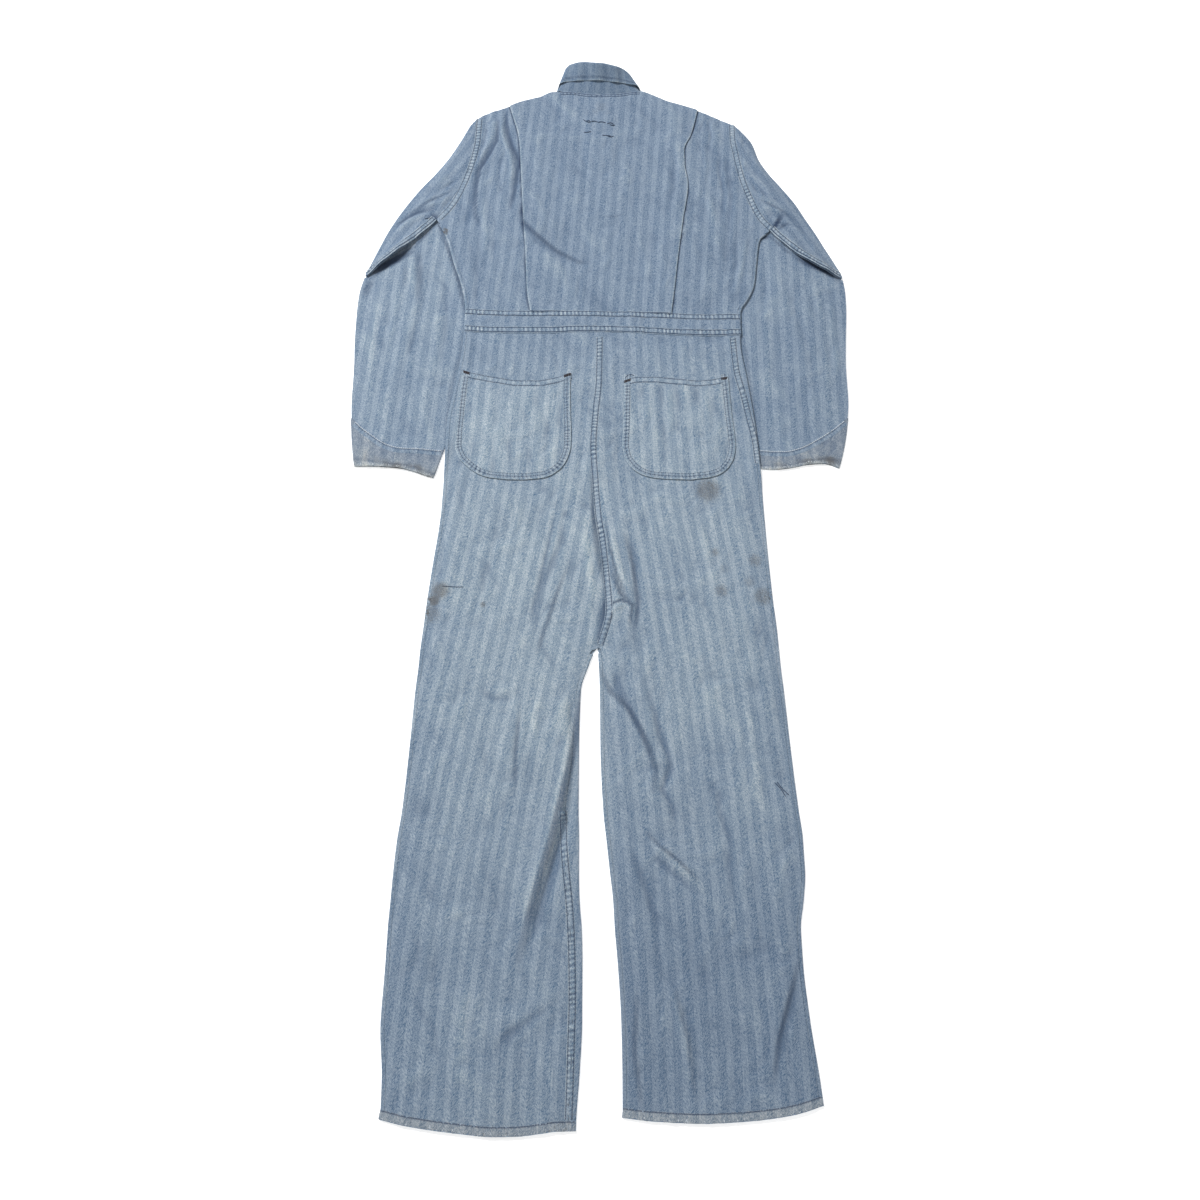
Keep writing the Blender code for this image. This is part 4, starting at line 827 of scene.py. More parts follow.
def cloth(name, points, material, grain, relief=None, marks=None, thickness=CLOTH, present=None, ring=False):
    """A closed wall of cloth about a grid of points, which keeps each point's grain, relief and marks."""
    rows, columns = points.shape[:2]
    present = np.ones((rows, columns), bool) if present is None else present
    ids = np.arange(rows * columns).reshape(rows, columns)
    if ring:
        ids = np.concatenate([ids, ids[:, :1]], axis=1)
        present = np.concatenate([present, present[:, :1]], axis=1)
    whole = present[:-1, :-1] & present[:-1, 1:] & present[1:, 1:] & present[1:, :-1]
    quads = np.stack([ids[:-1, :-1], ids[:-1, 1:], ids[1:, 1:], ids[1:, :-1]], axis=-1)[whole]
    flat = points.reshape(-1, 3)
    normals = np.zeros_like(flat)
    faces_out = np.cross(flat[quads[:, 2]] - flat[quads[:, 0]], flat[quads[:, 3]] - flat[quads[:, 1]])
    for corner in range(4):
        np.add.at(normals, quads[:, corner], faces_out)
    used = np.unique(quads)
    renumber = np.full(len(flat), -1)
    renumber[used] = np.arange(len(used))
    offset = unit(normals[used]) * thickness / 2
    quads = renumber[quads]
    count = len(used)
    edges = np.concatenate([quads[:, [side, (side + 1) % 4]] for side in range(4)])
    forward, backward = edges[:, 0] * count + edges[:, 1], edges[:, 1] * count + edges[:, 0]
    rim = edges[~np.isin(forward, backward)]
    rim_faces = np.stack([rim[:, 1], rim[:, 0], rim[:, 0] + count, rim[:, 1] + count], axis=-1)
    faces = np.concatenate([quads, quads[:, ::-1] + count, rim_faces])
    places = np.concatenate([flat[used] + offset, flat[used] - offset]) * MM
    mesh = bpy.data.meshes.new(name)
    mesh.vertices.add(len(places))
    mesh.vertices.foreach_set("co", places.ravel())
    mesh.loops.add(faces.size)
    mesh.loops.foreach_set("vertex_index", faces.ravel())
    mesh.polygons.add(len(faces))
    mesh.polygons.foreach_set("loop_start", np.arange(0, faces.size, 4))
    mesh.update(calc_edges=True)
    mesh.shade_smooth()
    mesh.set_sharp_from_angle(angle=SHARP_ANGLE)
    relief = 0 * points[..., :1] if relief is None else relief[..., None]
    marks = 0 * points if marks is None else marks
    for label, values in (("grain", np.concatenate([grain * MM, relief], axis=-1)), ("marks", marks)):
        kept = np.tile(values.reshape(-1, 3)[used], (2, 1))
        mesh.attributes.new(label, "FLOAT_VECTOR", "POINT").data.foreach_set("vector", kept.ravel())
    return placed(name, mesh, material)


def grain_of(points, lean):
    """Place on the cloth across and along its stripes. lean gives how far they have run over at a y."""
    return np.stack([points[..., 0] - lean(points[..., 1]), points[..., 1]], axis=-1)


TORSO_LEAN = 0.08


def torso_lean(y):
    """How far the torso's stripes have run over."""
    return TORSO_LEAN * y


def front_top(x):
    """Shoulder seams of the front, with its neckline dipping between them."""
    dip = np.sqrt(np.clip(1 - (np.abs(x) / NECK_HALF) ** NECK_ROUNDNESS, 0, 1))
    return smooth(BODICE_TOP, 1, x) - FRONT_NECK_DROP * dip


def lifted_edge(sign, outer):
    """Line up to which the sleeve below keeps the front of the body up."""
    inner = column(SLEEVES[sign], 2, -sign * UNDER_CLEAR)
    return lambda y: sign * np.minimum(sign * inner(y), sign * outer(y) - 2.5 * UNDER_CLEAR)


def front_lines(sign, outer, inset, inner, between=()):
    """Lines up a front panel: its outline, both ends of each slope in it, and its centre edge."""
    lifted = lifted_edge(sign, outer)
    flat = PLACKET_HALF + STRIP_CLEAR
    return (
        lambda y: outer(y) - sign * inset,
        lifted,
        lambda y: lifted(y) - sign * UNDER_RAMP,
        *between,
        lambda y: inner(y) + sign * (flat + STRIP_RAMP),
        lambda y: inner(y) + sign * flat,
        inner,
    )


for sign, side in SIDE_NAME.items():
    outline = column(BODICE_SIDES, SIDE_COLUMN[sign])
    low = column(WAISTBAND_EDGES, 1, GAP)
    levels, armpit_row = bodice_levels(COARSE)
    turned = row_numbers(levels) < armpit_row
    inset = np.where(turned, TURN_INSET, GAP / 2)[:, None]
    lines = front_lines(sign, outline, inset, constant(sign * GAP / 2), (constant(sign * NECK_HALF),))
    x, y = fill(lines, (4, 4, 10, 9, 4, 3), low, front_top, levels)
    flat = stack(x, y, front_height(x, y))
    seam = lambda at: outline(at) - sign * (SEAM_INSET - GAP / 2)
    bend_line = lambda at: outline(at) - sign * TURN_INSET
    x, y = fill((seam, bend_line), (2,), low, front_top, levels)
    strip = stack(x, y, back_height(x, y))
    bend = turn(strip[:, -1], flat[:, 0], np.array([sign, 0, 0]))
    grid = np.concatenate([strip, bend, flat], axis=1)
    present = np.ones(grid.shape[:2], bool)
    present[~turned, : strip.shape[1] + bend.shape[1]] = False
    piece = cloth(
        "front_bodice_" + side + "_cloth", grid, TWILL, grain_of(grid, torso_lean),
        marks=body_marks(grid[..., 0], grid[..., 1]), present=present,
    )
    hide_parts("front_bodice_" + side)

# ----------------------------------------
# Back bodice. One cut of the same twill. From the shoulders to the waist each side is folded
# under the centre back as a pressed action pleat, open at the fold so that the arms can reach.
# ----------------------------------------

# y, left x, right x of the lines where the centre back folds over the side backs
PLEATS = (
    (14, -106, 109), (51, -112, 114), (117, -116, 122), (182, -121, 131), (256, -126, 141),
    (290, -128, 137), (320, -130, 137), (353, -134, 149), (388, -143, 158), (430, -154, 166),
)
PLEAT_DEPTH = 15.0
PLEAT_CLOTH = 0.8  # pressed thin
PLEAT_LAYER = 1.0
PLEAT_SETTLE = 0.9  # share of the pleat's height that the centre back loses away from it,
PLEAT_SLOPE = 45.0  # over this width
PLEAT_WORN = 0.5  # paleness of its folded edge,
PLEAT_WORN_WIDTH = 1.4
PLEAT_SHADE = 0.8  # and darkness of the painted shadow beside it
PLEAT_SHADE_WIDTH = 1.5


def body_side(sign, y):
    """Edge of the back bodice: the armhole above the armpit, the side seam below it."""
    inset = GAP / 2 + SEAM_INSET * ease((ARMPIT_Y[sign] - y) / SEAM_START)
    return smooth(BODICE_SIDES, SIDE_COLUMN[sign], y) - sign * inset


def centre_back_height(x, y):
    """Middle of the cloth of the centre back, which lies on the pleats at its sides."""
    left, right = smooth(PLEATS, 1, y) + PLEAT_LAYER, smooth(PLEATS, 2, y) - PLEAT_LAYER
    inside = np.minimum(x - left, right - x)
    settle = 1 - PLEAT_SETTLE * ease((inside - PLEAT_DEPTH - PLEAT_LAYER) / PLEAT_SLOPE)
    return back_height(x, y) + 2 * PLEAT_LAYER * settle


levels = bodice_levels(FINE)[0]
low = column(WAISTBAND_EDGES, 1, GAP)
high = column(BODICE_TOP, 1)
halves, edges, flats = {}, {}, {}
for sign in SIDE_NAME:
    seam = lambda y: body_side(sign, y)
    rise = lambda y: seam(y) - sign * EDGE_SLOPE
    hidden = column(PLEATS, SIDE_COLUMN[sign], -sign * PLEAT_DEPTH)
    edges[sign] = column(PLEATS, SIDE_COLUMN[sign], -sign * PLEAT_LAYER)
    flats[sign] = column(PLEATS, SIDE_COLUMN[sign], -sign * (PLEAT_DEPTH + 2 * PLEAT_LAYER))
    x, y = fill((seam, rise, hidden), (10, 28), low, high, levels)
    under = stack(x, y, back_height(x, y))
    x, y = fill((hidden, edges[sign]), (4,), low, high, levels)
    tuck = stack(x, y, back_height(x, y) + PLEAT_LAYER)
    over = tuck[:, -1:] + np.array([0, 0, PLEAT_LAYER])
    inward = np.array([-sign, 0, 0])
    first = turn(under[:, -1], tuck[:, 0], inward)
    second = turn(tuck[:, -1], over[:, 0], -inward)
    halves[sign] = np.concatenate([under, first, tuck, second], axis=1)
x, y = fill((edges[-1], flats[-1], flats[1], edges[1]), (6, 72, 6), low, high, levels)
centre = stack(x, y, centre_back_height(x, y))
grid = np.concatenate([halves[-1], centre, halves[1][:, ::-1]], axis=1)
marks = body_marks(grid[..., 0], grid[..., 1])
beside = under.shape[1]
for sign, outside in ((-1, slice(0, beside)), (1, slice(-beside, None))):
    out_of = sign * (grid[..., 0] - smooth(PLEATS, SIDE_COLUMN[sign], grid[..., 1]))
    worn = PLEAT_WORN * ease(1.6 + out_of / PLEAT_WORN_WIDTH) * (out_of < 1)
    worn[:, outside] = 0
    marks[..., 0] += worn
    # painted shadow beside the pleat's fold, on the side back
    marks[:, outside, 2] += PLEAT_SHADE * ease(1.7 - out_of[:, outside] / PLEAT_SHADE_WIDTH)
back_bodice = cloth(
    "back_bodice_cloth", grid, TWILL, grain_of(grid, torso_lean),
    relief=back_relief(grid[..., 0], grid[..., 1]), marks=marks, thickness=PLEAT_CLOTH,
)
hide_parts("back_bodice")

# ----------------------------------------
# Waistband. One doubled strip of twill all round, with a row of stitches along each edge of
# both of its seams. Its left end laps over the right one under the garment.
# ----------------------------------------

BAND = 1.6
LAPS = {-1: PLACKET_HALF, 1: PLACKET_HALF + GAP}
PUCKER = 9.0  # from one pucker of a stitched edge to the next
PUCKER_HEIGHT = 0.28


def puckers(along, size, seed):
    """Uneven small waves that a row of stitches draws the cloth into."""
    return rumple(along, 0 * along, size, seed)


def waistband_height(x, y):
    """Middle of the waistband's cloth on the back, with its puckers."""
    bottom = smooth(WAISTBAND_EDGES, 2, x)
    share = (y - bottom) / (smooth(WAISTBAND_EDGES, 1, x) - bottom)
    inside = ease((edge_distance(x, y) - RELIEF_START) / 20)
    near_edge = 0.5 + 0.5 * np.abs(2 * share - 1)
    drawn = PUCKER_HEIGHT * puckers(x + 6 * rumple(x, y, 30, 5), PUCKER, 8) * near_edge
    return back_height(x, y) + (BAND - CLOTH) / 2 + inside * drawn


def even_levels(rows, crowding=1.0):
    """Rows at the same shares of the way up, wherever they are across, crowded towards the low end."""
    shares = np.linspace(0, 1, rows) ** crowding
    return lambda x: shares[:, None] + 0 * x[:1]


low, high = column(WAISTBAND_EDGES, 2), column(WAISTBAND_EDGES, 1)
levels = even_levels(17)
parts = []
for sign, lap in LAPS.items():
    bend_line = column(BODICE_SIDES, SIDE_COLUMN[sign], -sign * TURN_INSET)
    lifted = lifted_edge(sign, column(BODICE_SIDES, SIDE_COLUMN[sign]))
    lines = (bend_line, lifted, lambda y: lifted(y) - sign * UNDER_RAMP, constant(lap))
    x, y = fill(lines, (3, 4, 24), low, high, levels)
    parts.append(stack(x, y, FLOOR + (BAND - CLOTH) / 2 + under_lift(x, y)))
bend_lines = column(BODICE_SIDES, 1, TURN_INSET), column(BODICE_SIDES, 2, -TURN_INSET)
x, y = fill(bend_lines, (170,), low, high, levels)
back = stack(x, y, waistband_height(x, y))
first = turn(parts[0][:, 0], back[:, 0], np.array([-1.0, 0, 0]))
second = turn(back[:, -1], parts[1][:, 0], np.array([1.0, 0, 0]))
grid = np.concatenate([parts[0][:, ::-1], first, back, second, parts[1]], axis=1)
waistband = cloth(
    "waistband_cloth", grid, TWILL, grain_of(grid, torso_lean) + np.array([4, 0]),
    marks=body_marks(grid[..., 0], grid[..., 1]), thickness=BAND,
)
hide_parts("waistband")

# ----------------------------------------
# Front legs. They lie face down, and turn up round both sides of each leg to the side seam
# and, below the crotch, to the inseam.
# ----------------------------------------

CROTCH_Y = -513
# y, left inseam, right inseam, right side seam: how far each seam lies in from its outline
SEAM_INSETS = (
    (-1100, 8, 5, 5), (-1040, 10, 5, 5), (-947, 12, 5, 5), (-846, 15, 5, 5), (-743, 18, 5, 5),
    (-640, 8, 5, 5), (-513, 5, 5, 5), (-230, 5, 5, 5), (-132, 5, 5, 7), (-36, 5, 5, 13),
    (0, 5, 5, 13),
)
# x, y of the hem
LEFT_HEM = (
    (-260, -1071), (-220, -1079), (-174, -1085), (-121, -1089.5), (-92, -1089), (-66, -1086),
    (-46, -1084), (-24, -1084),
)
RIGHT_HEM = ((20, -1070), (65, -1074), (116, -1076), (168, -1074), (219, -1068), (262, -1057))
HEMS = {-1: LEFT_HEM, 1: RIGHT_HEM}
FRONT_CENTRE_LEAN = -4.0  # the fronts' centre line moves over by this much towards the crotch,
CENTRE_LEAN_START = -440.0  # from here down,
CENTRE_LEAN_LENGTH = 60.0  # over this length
# y, how far the left leg's stripes have run over, the right leg's
LEG_LEAN = (
    (-1100, -138, 87), (-1000, -135, 86), (-850, -121, 78), (-700, -99, 67), (-550, -71, 52),
    (-400, -44, 31), (-250, -19, 9), (-100, -6, 3), (-20, 0, 0),
)
LENGTH_TO_CROTCH = 575.0  # about, from the hem up
LENGTH_TO_WAIST = 490.0  # about, from the crotch up


def leg_levels(sign, cell):
    """Rows of a leg, which meet the other leg's at the crotch and above it."""
    below, above = round(LENGTH_TO_CROTCH / cell), round(LENGTH_TO_WAIST / cell)
    low = column(HEMS[sign], 1)
    high = column(WAISTBAND_EDGES, 2, -GAP)
    share = lambda x: (CROTCH_Y - low(x)) / (high(x) - low(x))
    return (lambda x: rows_through(below, above, share, x)), below


def leg_seams(sign):
    """Lines of one leg: its outer and inner outline, its side seam and its inseam."""
    outer_column, inner_column = (1, 2) if sign < 0 else (4, 3)
    outer = column(LEG_SIDES, outer_column)
    inner = column(LEG_SIDES, inner_column)
    side = lambda y: outer(y) - sign * (SEAM_INSET if sign < 0 else smooth(SEAM_INSETS, 3, y))
    inseam = lambda y: inner(y) + sign * smooth(SEAM_INSETS, 1 if sign < 0 else 2, y)
    return outer, inner, side, inseam


for sign, side in SIDE_NAME.items():
    outer, inner, side_seam, inseam = leg_seams(sign)
    low, high = column(HEMS[sign], 1), column(WAISTBAND_EDGES, 2, -GAP)
    levels, crotch_row = leg_levels(sign, COARSE)
    split = (row_numbers(levels) < crotch_row)[:, None]
    centre = lambda y: FRONT_CENTRE_LEAN * ease((CENTRE_LEAN_START - y) / CENTRE_LEAN_LENGTH)
    outer_bend = lambda y: outer(y) - sign * TURN_INSET
    inner_bend = lambda y: inner(y) + sign * TURN_INSET
    inner_edge = lambda y: np.where(split, inner_bend(y), centre(y) + sign * GAP / 2)
    x, y = fill(front_lines(sign, outer, TURN_INSET, inner_edge), (3, 4, 14, 4, 4), low, high, levels)
    flat = stack(x, y, front_height(x, y))
    x, y = fill((lambda at: side_seam(at) + sign * GAP / 2, outer_bend), (3,), low, high, levels)
    outer_strip = stack(x, y, back_height(x, y))
    x, y = fill((inner_bend, lambda at: inseam(at) - sign * GAP / 2), (4,), low, high, levels)
    inner_strip = stack(x, y, back_height(x, y))
    first = turn(outer_strip[:, -1], flat[:, 0], np.array([sign, 0, 0]))
    second = turn(flat[:, -1], inner_strip[:, 0], np.array([-sign, 0, 0]))
    grid = np.concatenate([outer_strip, first, flat, second, inner_strip], axis=1)
    present = np.ones(grid.shape[:2], bool)
    present[~split[:, 0], -(inner_strip.shape[1] + second.shape[1]):] = False
    piece = cloth(
        "front_leg_" + side + "_cloth", grid, TWILL, grain_of(grid, column(LEG_LEAN, SIDE_COLUMN[sign])),
        marks=body_marks(grid[..., 0], grid[..., 1]), present=present,
    )
    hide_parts("front_leg_" + side)

# ----------------------------------------
# Back legs. The same twill, most faded over the seat and thighs. The two legs are joined by a
# felled centre seam, and each to its front leg by a felled side seam and inseam.
# ----------------------------------------

for sign, side in SIDE_NAME.items():
    outer, inner, side_seam, inseam = leg_seams(sign)
    levels, crotch_row = leg_levels(sign, FINE)
    split = (row_numbers(levels) < crotch_row)[:, None]
    centre_seam = column(CENTRE_SEAM, 1)
    inner_seam = lambda y: np.where(split, inseam(y), centre_seam(y)) + sign * GAP / 2
    lines = (lambda y: side_seam(y) - sign * GAP / 2, inner_seam)
    x, y = fill(lines, (78,), column(HEMS[sign], 1), column(WAISTBAND_EDGES, 2, -GAP), levels)
    grid = stack(x, y, back_height(x, y))
    piece = cloth(
        "back_leg_" + side + "_cloth", grid, TWILL, grain_of(grid, column(LEG_LEAN, SIDE_COLUMN[sign])),
        relief=back_relief(x, y), marks=body_marks(x, y),
    )
    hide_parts("back_leg_" + side)

# ----------------------------------------
# Back pockets. Patches of the same twill with round bottoms, turned in and sewn on with two
# rows of stitches round the sides and the bottom. The mouth has its own hem.
# ----------------------------------------

# y, left pocket's left x, its right x, right pocket's left x, its right x
POCKET_SIDES = (
    (-266, -128, -108, 106, 128), (-263, -158, -80, 74, 156), (-257, -174, -66, 57, 172),
    (-246, -189, -54, 44, 184), (-230, -203, -46, 35, 192), (-211, -209, -42, 32, 195),
    (-190, -209, -42, 33, 194), (-164, -208, -43, 34, 192), (-123, -206, -44, 35, 190),
    (-88, -203, -43, 36, 189),
)
# x, y of the pocket mouths
LEFT_MOUTH = ((-205, -88), (-185, -94), (-152, -101), (-119, -106), (-93, -106), (-66, -101), (-41, -92))
RIGHT_MOUTH = ((34, -106), (56, -100), (79, -100), (111, -103), (144, -106), (167, -104), (191, -98))
MOUTHS = {-1: LEFT_MOUTH, 1: RIGHT_MOUTH}
POCKET_COLUMNS = {-1: (1, 2), 1: (3, 4)}
POCKET_LEANS = {-1: lambda y: 0.06 * y + 5, 1: lambda y: -0.04 * y + 5}  # of their stripes
POCKET_BOTTOM = POCKET_SIDES[0][0]
POCKET_BELLY = 0.8  # the pocket's cloth stands off the leg by this much more in the middle
POCKET_RUMPLE = 0.25
POCKET_FADE = 0.12  # it is this much more faded than the leg


def pocket_rumple(x, y):
    """The pocket's own uneven relief, narrower across than up, between about -1 and 1."""
    return rumple(x * 1.8, y * 0.6, 34, 31)


def pocket_height(sign, x, y):
    """Middle of the pocket's cloth, moved out from the leg's."""
    left, right = (smooth(POCKET_SIDES, index, y) for index in POCKET_COLUMNS[sign])
    across = np.clip((x - left) / (right - left), 0, 1)
    up = np.clip((y - POCKET_BOTTOM) / (smooth(MOUTHS[sign], 1, x) - POCKET_BOTTOM), 0, 1)
    inside = np.minimum(np.minimum(x - left, right - x), (y - POCKET_BOTTOM))
    belly = POCKET_BELLY * 4 * across * (1 - across) * ease(3 * up)
    own = POCKET_RUMPLE * pocket_rumple(x, y) * ease(inside / 18)
    return back_height(x, y) + LAYER + GAP + belly + own


for sign, side in SIDE_NAME.items():
    left, right = (column(POCKET_SIDES, index) for index in POCKET_COLUMNS[sign])
    mouth = column(MOUTHS[sign], 1)
    x, y = fill((left, right), (60,), constant(POCKET_BOTTOM), mouth, even_levels(64, 1.5))
    grid = stack(x, y, pocket_height(sign, x, y))
    marks = body_marks(x, y)
    marks[..., 0] += POCKET_FADE
    relief = back_relief(x, y) * 0.5 + 0.5 * pocket_rumple(x, y)
    grain = grain_of(grid, POCKET_LEANS[sign])
    piece = cloth("back_pocket_" + side + "_cloth", grid, TWILL, grain, relief=relief, marks=marks)
    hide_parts("back_pocket_" + side)

# ----------------------------------------
# Sleeves. One cut of twill each, closed by a felled underarm seam. From the elbow down the arm
# lies flat, and above it the sleeve is folded back under itself along its outline.
# ----------------------------------------

SLEEVE_TOP_Y = {-1: 374, 1: 364}
ELBOW_Y = {-1: 80, 1: 74}
SEAM_SAG = {-1: 6, 1: 14}  # how far the underarm seam bows down from a straight line
# x, y of the curved seam between sleeve and cuff
CUFF_SEAMS = {
    -1: (
        (-362, -166), (-346, -182), (-329, -195), (-311, -207), (-289, -214), (-267, -215),
        (-225, -218), (-200, -219),
    ),
    1: ((200, -216), (223, -217), (266, -220), (288, -215), (319, -198), (342, -182), (362, -165)),
}
CUFF_SIDE_Y = -180.0  # about where the cuff's curved seam meets the outline
SLEEVE_AIR = 1.0  # how far the forearm's upper layer stands off its lower one, clear of the body
SLEEVE_PRESSED = 14.0  # it stays pressed this far beyond the body's edge,
SLEEVE_SLOPE = 24.0  # and then rises over this width,
SLEEVE_RISE_SHARE = 0.25  # from the outline over this share of the arm's width
SLEEVE_FREE_LENGTH = 120.0  # and down from the shoulder over this length
UNDER_TURN = TURN_INSET - CLOTH  # the hidden fold bulges this far past its line
SLEEVE_FOLDS = (
    (1.3, 22, 26, ((-280, 120), (-277, 60), (-290, -20), (-303, -85), (-310, -160))),
    (1.2, 24, 24, ((266, 88), (284, 30), (302, -60), (306, -120))),
    (1.0, 22, 24, ((302, 86), (322, -5), (334, -60))),
)
# Creases of the forearms
FOREARM_CREASES = (
    (-1.2, 5, 9, ((-284, 132), (-280, 100), (-277, 60), (-283, 20))),
    (1.1, 6, 7, ((-292, 118), (-290, 90), (-287, 50))),
    (-1.0, 6, 7, ((-246, 120), (-238, 60), (-232, 0), (-236, -80))),
    (0.9, 7, 7, ((-336, 70), (-340, 20), (-342, -60), (-338, -130))),
    (-1.0, 8, 6, ((262, 130), (256, 70), (246, 10), (240, -60))),
    (0.9, 7, 7, ((330, 74), (334, 20), (338, -60), (336, -130))),
    (-0.9, 7, 7, ((354, 60), (360, 10), (362, -60))),
    (-1.0, 7, 8, ((-268, 122), (-265, 60), (-278, -20), (-291, -85), (-297, -160))),
    (0.9, 8, 7, ((-312, 66), (-311, 0), (-318, -60))),
    (-0.7, 7, 7, ((-322, 70), (-321, 0), (-330, -66))),
    (0.6, 9, 9, ((-250, 40), (-244, -40), (-252, -120))),
    (-0.8, 7, 8, ((277, 88), (295, 30), (313, -60), (317, -120))),
    (-0.8, 8, 7, ((312, 84), (334, -5), (344, -60))),
    (0.6, 9, 9, ((250, 20), (252, -60), (246, -140))),
    (0.5, 9, 9, ((352, 40), (350, -30), (356, -110))),
)
# Creases of the upper arms, which gather towards the armpits
UPPER_CREASES = (
    (-1.3, 5, 8, ((-266, 190), (-280, 196), (-300, 190), (-322, 168))),
    (1.3, 6, 6, ((-246, 216), (-262, 214), (-282, 206))),
    (-1.1, 5, 7, ((-228, 262), (-244, 248), (-258, 236))),
    (-1.3, 8, 5, ((276, 172), (290, 176), (312, 168), (334, 140))),
    (1.3, 6, 6, ((256, 206), (270, 202), (290, 196))),
    (-1.1, 7, 5, ((240, 252), (254, 240), (270, 228))),
    (1.2, 8, 10, ((-262, 196), (-285, 190), (-312, 168), (-338, 136))),
    (-0.9, 6, 8, ((-262, 205), (-286, 202), (-316, 180))),
    (0.9, 8, 9, ((-240, 240), (-268, 226), (-296, 204))),
    (0.8, 9, 9, ((-224, 290), (-246, 268), (-270, 240))),
    (1.2, 9, 8, ((272, 182), (296, 176), (322, 152), (344, 124))),
    (-0.9, 8, 6, ((270, 192), (296, 188), (326, 164))),
    (0.9, 8, 9, ((250, 226), (276, 212), (304, 190))),
    (0.8, 9, 9, ((236, 276), (256, 254), (280, 226))),
)
# The underarm seam stands up from the forearm: how high, and how far up the arm it lies down again
FLAP_LIFT = 6.5
FLAP_ROWS = 13.0
FLAP_START = 0.8  # it begins to rise this far, in thirds, from the armpit to the elbow
# Painted shade on the forearms, where shade falls: under the raised seam, in the armpit, and beside the body
FOREARM_SHADES = {
    -1: (
        (0.97, 6.0, ((-294, 127), (-308, 117), (-323, 106), (-339, 95), (-353, 80))),
        (0.55, 2.0, ((-260, 176), (-272, 158), (-284, 142), (-296, 126))),
        (0.90, 3.6, ((-258, 185), (-250, 174), (-241, 159))),
        (0.75, 2.6, ((-252, 166), (-240, 140), (-227, 102), (-216, 66), (-208, 30), (-206, 12))),
        (0.35, 5.0, ((-284, 129), (-281, 110), (-277, 72), (-277, 30))),
        (0.25, 4.0, ((-301, 101), (-300, 61))),
        (0.45, 5.0, ((-352, 74), (-358, 58), (-360, 44))),
        (0.30, 2.4, ((-206, 0), (-210, -60), (-221, -120), (-224, -200))),
    ),
    1: (
        (0.97, 4.2, ((303, 118), (321, 104), (340, 93), (358, 84), (366, 74))),
        (0.60, 1.8, ((262, 160), (276, 144), (290, 128), (303, 116))),
        (0.90, 3.6, ((244, 149), (254, 153), (266, 156))),
        (0.35, 2.0, ((360, 86), (368, 76), (374, 64))),
        (0.30, 2.4, ((212, -10), (218, -60), (223, -120), (229, -200))),
    ),
}
# Painted shade on the upper arms, in the armpits and along their creases
UPPER_ARM_SHADES = (
    (0.95, 3.2, ((286, 190), (279, 178), (272, 166), (266, 158))),
    (0.95, 2.8, ((-266, 194), (-259, 188), (-253, 178), (-250, 168))),
    (0.60, 2.0, ((-276, 190), (-268, 187), (-258, 180))),
    (0.60, 2.0, ((296, 176), (288, 172), (278, 164))),
    (0.55, 2.4, ((-262, 203), (-288, 197), (-318, 174))),
    (0.35, 2.2, ((-238, 238), (-268, 220), (-296, 197))),
    (0.35, 2.2, ((252, 222), (278, 206), (306, 184))),
)
STRIPE_TURN = (0.878, 0.478)  # the upper arm's stripes run along its outline
SHOULDER_TIP_Y = {-1: BODICE_TOP[0][1], 1: BODICE_TOP[-1][1]}
FOREARM_FADE = {-1: 0.14, 1: 0.03}
FOREARM_LEAN = {-1: 0.075, 1: 0.01}
UPPER_DARK = 0.07
FOREARM_ROWS = 76  # rows of cells from the cuff to the elbow,
UPPER_ROWS = 84  # and from there to the shoulder
arm_edges = {}


def flap_rise(beside_seam, shares):
    """How far the upper arm is raised beside the underarm seam, less so at both ends of it."""
    return FLAP_LIFT * beside_seam * ease(3 * shares - FLAP_START) * ease(4 - 4 * shares)


def sleeve_rise(sign, x, y):
    """How far a forearm's upper layer stands above its pressed height."""
    outer = smooth(SLEEVES[sign], 1, y)
    inner = smooth(SLEEVES[sign], 2, y)
    share = np.clip((x - outer) / (inner - outer), 0, 1)
    beyond = -edge_distance(x, y)
    free = ease(share / SLEEVE_RISE_SHARE) * ease((beyond - SLEEVE_PRESSED) / SLEEVE_SLOPE)
    free = free * ease((SLEEVE_TOP_Y[sign] - y) / SLEEVE_FREE_LENGTH)
    return free * (SLEEVE_AIR + fold_height(x, y, SLEEVE_FOLDS))


def forearm_relief(sign, x, y):
    """Creases and rumples of a forearm, which flatten out towards its outline and the body."""
    outer = smooth(SLEEVES[sign], 1, y)
    inside = ease(sign * (outer - x) / 14) * ease((-edge_distance(x, y) - 6) / 12)
    return inside * (fold_height(x, y, FOREARM_CREASES) + 0.9 * washed(x, y) + 0.25)


